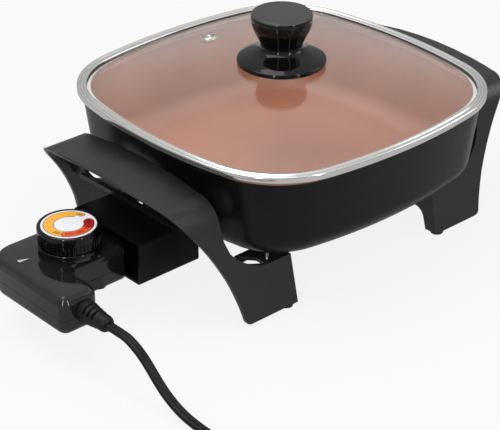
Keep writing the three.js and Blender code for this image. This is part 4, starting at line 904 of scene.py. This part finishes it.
# %% Dial print
disc_top, layer = 0.0809, 0.00003
disc_profile = mm([(0, 80.25), (21.3, 80.25), (21.4, 80.35), (21.4, 80.8), (21.3, 80.9),
                   (0, 80.9)])
arc_step, cap_steps = 0.06, 12


def sector(inner, outer, start, stop, low, high, round_start=False, round_stop=True):
    middle, half = (inner + outer) / 2, (outer - inner) / 2
    swing = half / middle
    a0 = math.radians(start) + (swing if round_start else 0)
    a1 = math.radians(stop) - (swing if round_stop else 0)
    steps = max(6, int((a1 - a0) / arc_step))

    def at(radius, angle):
        return (dial_at[0] + radius * math.cos(angle), dial_at[1] + radius * math.sin(angle))

    def cap(angle, way):
        found = []
        for i in range(1, cap_steps):
            turn = math.pi * i / cap_steps
            radius = middle + way * half * math.cos(turn)
            found.append(at(radius, angle + way * swing * math.sin(turn)))
        return found

    outline = [at(outer, a0 + (a1 - a0) * i / steps) for i in range(steps + 1)]
    outline += cap(a1, 1) if round_stop else []
    outline += [at(inner, a1 + (a0 - a1) * i / steps) for i in range(steps + 1)]
    outline += cap(a0, -1) if round_start else []
    return slab(outline, low, high)


def printed(name, level, finish, shapes):
    points, faces = [], []
    low, high = disc_top + layer * (level - 1), disc_top + layer * level
    for shape in shapes:
        more, their_faces = sector(*shape[:4], low, high, *shape[4:])
        faces += [tuple(i + len(points) for i in face) for face in their_faces]
        points += more
    make_piece(name, points, faces, [finish], "dial", "face_print")


# %% Printed arcs
ring_in, tab_in, ring_out, line = 0.0118, 0.0150, 0.0191, 0.0005
make_piece("dial_disc", *skin(lathe(disc_profile, dial_at, fine_steps)), [face_white], "dial",
           "face_print", ("dial_face",))
printed("print_outline", 1, ink_black, [
    (tab_in - line, ring_out + line, 8, 32, True, False),
    (ring_in - line, ring_out + line, 32, 225, False, False)])
printed("print_warm", 2, ink_warm, [
    (tab_in, ring_out, 9.2, 33, True, False), (ring_in, ring_out, 33, 225, False, False)])
printed("print_hot_outline", 3, ink_black, [
    (ring_in - line, ring_out + line, 212, 351, True, True)])
printed("print_hot", 4, ink_hot, [(ring_in, ring_out, 213.3, 300, True, False)])
printed("print_searing", 4, ink_searing, [(ring_in, ring_out, 300, 349.7, False, True)])

# %% Dial numbers
def make_numbers(marks, low):
    work = bmesh.new()
    for text, degrees, radius, height in marks:
        words = bpy.data.curves.new("number", "FONT")
        words.body, words.size = text, height
        words.align_x, words.align_y = "CENTER", "CENTER"
        words.extrude = layer
        stand_in = bpy.data.objects.new("number", words)
        flat = bpy.data.meshes.new_from_object(stand_in)
        angle = math.radians(degrees)
        turn = Matrix.Rotation(angle + math.pi / 2, 4, "Z")
        spot = Vector((dial_at[0] + radius * math.cos(angle),
                       dial_at[1] + radius * math.sin(angle), low + layer))
        flat.transform(Matrix.Translation(spot) @ turn)
        work.from_mesh(flat)
        bpy.data.objects.remove(stand_in)
    mesh = bpy.data.meshes.new("dial_numbers")
    work.to_mesh(mesh)
    work.free()
    mesh.materials.append(ink_black)
    place_piece("dial_numbers", mesh, "dial")


number_radius, number_size, off_radius, off_size = 0.0155, 0.0042, 0.01705, 0.0031
numbers = [(text, degrees, number_radius, number_size) for text, degrees in (
    ("200", 198), ("250", 234), ("300", 266), ("350", 298), ("400", 330))]
make_numbers([("OFF", 23, off_radius, off_size), *numbers], disc_top + layer * 4)

# %% [markdown]
# The number that faces the pointer is the heat that is set. The pointer is a small mark printed on
# the arm, so it stays while the dial turns, and it rides on another body than the numbers.

# %% Pointer mark
mark = [(x + shift, y) for x, y in ((-0.26, 0.0117), (-0.26, 0.0083), (-0.2512, 0.008))]
arm_top, mark_top = 0.06, 0.06008
make_piece("pointer_mark", *slab(mark, arm_top, mark_top), [mark_grey], "control", "gloss_black",
           crisp=20)

# %% [markdown]
# ## Strain relief
# Where the cord leaves the arm, a soft sleeve keeps it from being bent sharply. Its rings are
# parted by windows that leave two thin bridges, so the sleeve bends but can't be stretched. We turn
# it like a lathe. A station gives how far out a ring lies and its radius, and in a window a second,
# smaller radius that holds between the bridges. No cutting is needed.

# %% Strain relief piece
def make_relief():
    axis_x, axis_z, face_y = shift - 0.25, 0.0444, -0.058
    root, tip, floor, pitch, width = 0.009, 0.0066, 0.0052, 0.0046, 0.0021
    windows, bridge_from, ring_steps = 3, 0.93, circle(64)
    stations = [(-0.0041, 0), (-0.0041, 0.007), (-0.0025, 0.007), (-0.0025, 0.0052),
                (0.0003, 0.0052), (0.0003, 0.0084), (0.0005, 0.0088), (0.0009, root),
                (0.0058, 0.0088)]
    for i in range(windows):
        start = 0.0063 + i * pitch
        outer = root + (tip - root) * (i + 1) / (windows + 1)
        stations += [(start - 0.0002, outer + 0.0001), (start, outer, outer - 0.0003),
                     (start + 0.0001, outer, floor), (start + width - 0.0001, outer, floor),
                     (start + width, outer, outer - 0.0003), (start + width + 0.0002, outer)]
    stations += [(0.0195, tip + 0.0001), (0.0245, tip), (0.0262, tip - 0.0003),
                 (0.0276, tip - 0.001), (0.0286, tip - 0.0021), (0.0291, tip - 0.0035), (0.0293, 0)]
    rings = []
    for out, bridge, *window in stations:
        radii = [bridge if abs(c) > bridge_from else (window or [bridge])[0] for c, _ in ring_steps]
        rings.append([(axis_x + radius * c, face_y - out, axis_z + radius * s)
                      for radius, (c, s) in zip(radii, ring_steps)])
    make_piece("cord_sleeve", *skin(rings), [cord_black], "control", "cord_black",
               ("strain_relief",), crisp=38)


make_relief()

# %% [markdown]
# ## Screws and feet
# Screws hold the handle units, the shroud and the control together from below, and each leg
# stands on a rubber foot. One tree sets a turned stud on every seed point, and turns it by a random
# angle from a fixed seed, because nobody lines up the crosses of screws.

# %% Stud tree
def make_stud_tree():
    tree, g, result = new_growth("studs", {
        "Stud": "Object", "Most Turn": "Float", "Turn Seed": "Int", "Finish": "Material"})
    stud = add(tree, "GeometryNodeObjectInfo", {"Object": g["Stud"]})
    angle = add(tree, "FunctionNodeRandomValue", {"Max": g["Most Turn"], "Seed": g["Turn Seed"]})
    turn = add(tree, "ShaderNodeCombineXYZ", {"Z": angle.outputs[1]})
    studs = add(tree, "GeometryNodeInstanceOnPoints", {
        "Points": g["Seed"], "Instance": stud.outputs["Geometry"], "Rotation": turn.outputs[0]})
    close_growth(tree, studs.outputs[0], g["Finish"], result)
    return tree


stud_tree = make_stud_tree()

# %% Stud shapes
thread_pitch, thread_start, thread_deep = 0.0011, 0.0006, 0.0003


def make_screw(length, head=0.0038, tall=0.0024, shank=0.0016):
    profile = [(0, -tall), (head * 0.5, -tall), (head * 0.8, -tall * 0.86),
               (head * 0.96, -tall * 0.6), (head, -tall * 0.3), (head, 0), (shank, 0)]
    for i in range(int(length / thread_pitch)):
        z = thread_start + i * thread_pitch
        profile += [(shank, z), (shank - thread_deep, z + 0.0004)]
    profile += [(shank * 0.6, length - 0.0004), (0, length)]
    made = link_object("screw", closed_mesh("screw", *skin(lathe(profile, (0, 0), 24))))
    arm, half, deep = head * 0.56, head * 0.12, tall * 0.5
    cross = [(arm, half), (half, half), (half, arm), (-half, arm), (-half, half), (-arm, half),
             (-arm, -half), (-half, -half), (-half, -arm), (half, -arm), (half, -half),
             (arm, -half)]
    low, high, narrowing = -tall - 0.001, -tall + deep, 0.6
    wedge = skin([[(x, y, low) for x, y in cross],
                  [(x * narrowing, y * narrowing, high) for x, y in cross]])
    cutter = link_object("cross_cutter", closed_mesh("cross_cutter", *wedge))
    cut = made.modifiers.new("cross", "BOOLEAN")
    cut.object, cut.operation, cut.solver = cutter, "DIFFERENCE", "EXACT"
    return made, cutter


def make_foot():
    profile = mm([(0, 0.3), (1.6, 0.3), (1.8, 0), (3.0, 0), (3.2, 0.3), (3.6, 0.3), (3.8, 0),
                  (4.7, 0), (5.2, 0.2), (5.45, 0.6), (5.5, 1), (5.5, 2.3), (5.35, 2.6), (2.2, 2.6),
                  (2.2, 5.4), (2.8, 5.4), (2.6, 6), (1.1, 8.1), (0, 8.1)])
    return link_object("foot", closed_mesh("foot", *skin(lathe(profile, (0, 0), 40))))


# %% Screws and feet placed
full_turn, turn_seed = 6.28, 4


def set_studs(name, made, places, finish, body, stands_for):
    grow(name, stud_tree, {"Stud": made, "Most Turn": full_turn, "Turn Seed": turn_seed,
                           "Finish": finish},
         [(x / 1000 + shift, y / 1000, z / 1000) for x, y, z in places], body, stands_for)


leg_head, shroud_head, control_head = 39.7, 41.6, 31.7
screw, cutter = make_screw(length=0.0093)
set_studs("leg_screws", screw, [(x, y, leg_head) for x in (-98, 98) for y in (-90, 90)], zinc,
          "base", [f"handle_screw_{i}" for i in (1, 2, 3, 4)])
set_studs("shroud_screws", screw, [(-119, y, shroud_head) for y in (-31, 31)], zinc, "base",
          ["shroud_screw_near", "shroud_screw_far"])
long_screw, long_cutter = make_screw(length=0.0155)
set_studs("control_screws", long_screw, [(x, y, control_head) for x, y in (
    (-253.25, 28.06), (-253.25, -36.18), (-207.42, -19.06))], zinc, "control",
    [f"housing_screw_{i}" for i in (1, 2, 3)])
foot = make_foot()
set_studs("rubber_feet", foot, [(x, y, 0) for x in (-86.6, 86.6) for y in (-100.4, 100.4)],
          rubber, "base", [f"foot_{i}" for i in (1, 2, 3, 4)])
for used in (screw, cutter, long_screw, long_cutter, foot):
    bpy.data.objects.remove(used)

# %% [markdown]
# ## Heating element
# Under the pan's floor lies a loop of sheathed heating rod. Both its ends run into the terminals.
# The loop is a rounded square, so its route is four quarter turns joined by straight lines. The rod
# is swept along it as the cord was.

# %% Heating element piece
def make_element():
    loop, corner, bend, lead_y, end_x = 0.076, 0.03, 0.012, 0.0125, -0.128
    height, radius = 0.04895, 0.00372
    side = loop - corner
    route = []

    def turn(x, y, r, start, stop, steps=12):
        for i in range(steps + 1):
            angle = math.radians(start + (stop - start) * i / steps)
            route.append(Vector((x + shift + r * math.cos(angle), y + r * math.sin(angle), height)))

    route.append(Vector((end_x + shift, -lead_y, height)))
    turn(-loop - bend, -lead_y - bend, bend, 90, 0)
    turn(-side, -side, corner, 180, 270)
    turn(side, -side, corner, 270, 360)
    turn(side, side, corner, 0, 90)
    turn(-side, side, corner, 90, 180)
    turn(-loop - bend, lead_y + bend, bend, 0, -90)
    route.append(Vector((end_x + shift, lead_y, height)))
    rod = sweep_flat(route, [(radius * c, radius * s) for c, s in circle(20)])
    make_piece("element_rod", *skin(rod), [nickel], "base", "nickel", ("heating_element",),
               crisp=60)


make_element()

# %% [markdown]
# ## Small pieces
# The plug, its blades, the tie and the parts inside the control are right as the CAD has them, and
# only need softer edges. The rest is seen too little for that, and just gets its finish.

# %% More rounded copies
for node, finish, slot, width in (
        ("plug_body", cord_black, "cord_black", 0.0006), ("cord_tie", rubber, "rubber", 0.0002),
        ("plug_blade_near", nickel, "nickel", 0.0003), ("plug_blade_far", nickel, "nickel", 0.0003),
        ("plug_block", shroud_black, "moulded_black", 0.0004),
        ("thermostat_frame", zinc, "zinc_plate", 0.0002),
        ("contact_blade", brass, "brass", 0.0001)):
    rounded_copy(node + "_finished", node, finish, "control", width)

# %% Finishes for the CAD nodes that stay
plain = {
    "sensor_well": nickel, "terminal_pin": nickel, "terminal_insulator": ceramic,
    "vent_grommet": stainless, "knob_gasket": silicone, "knob_washer": stainless,
    "knob_screw": stainless, "contact_sleeve": brass, "sensor_stem": nickel,
    "adjusting_shaft": nickel,
}
for name, node in nodes.items():
    for start, finish in plain.items():
        if name.startswith(start):
            node.data.materials.clear()
            node.data.materials.append(finish)
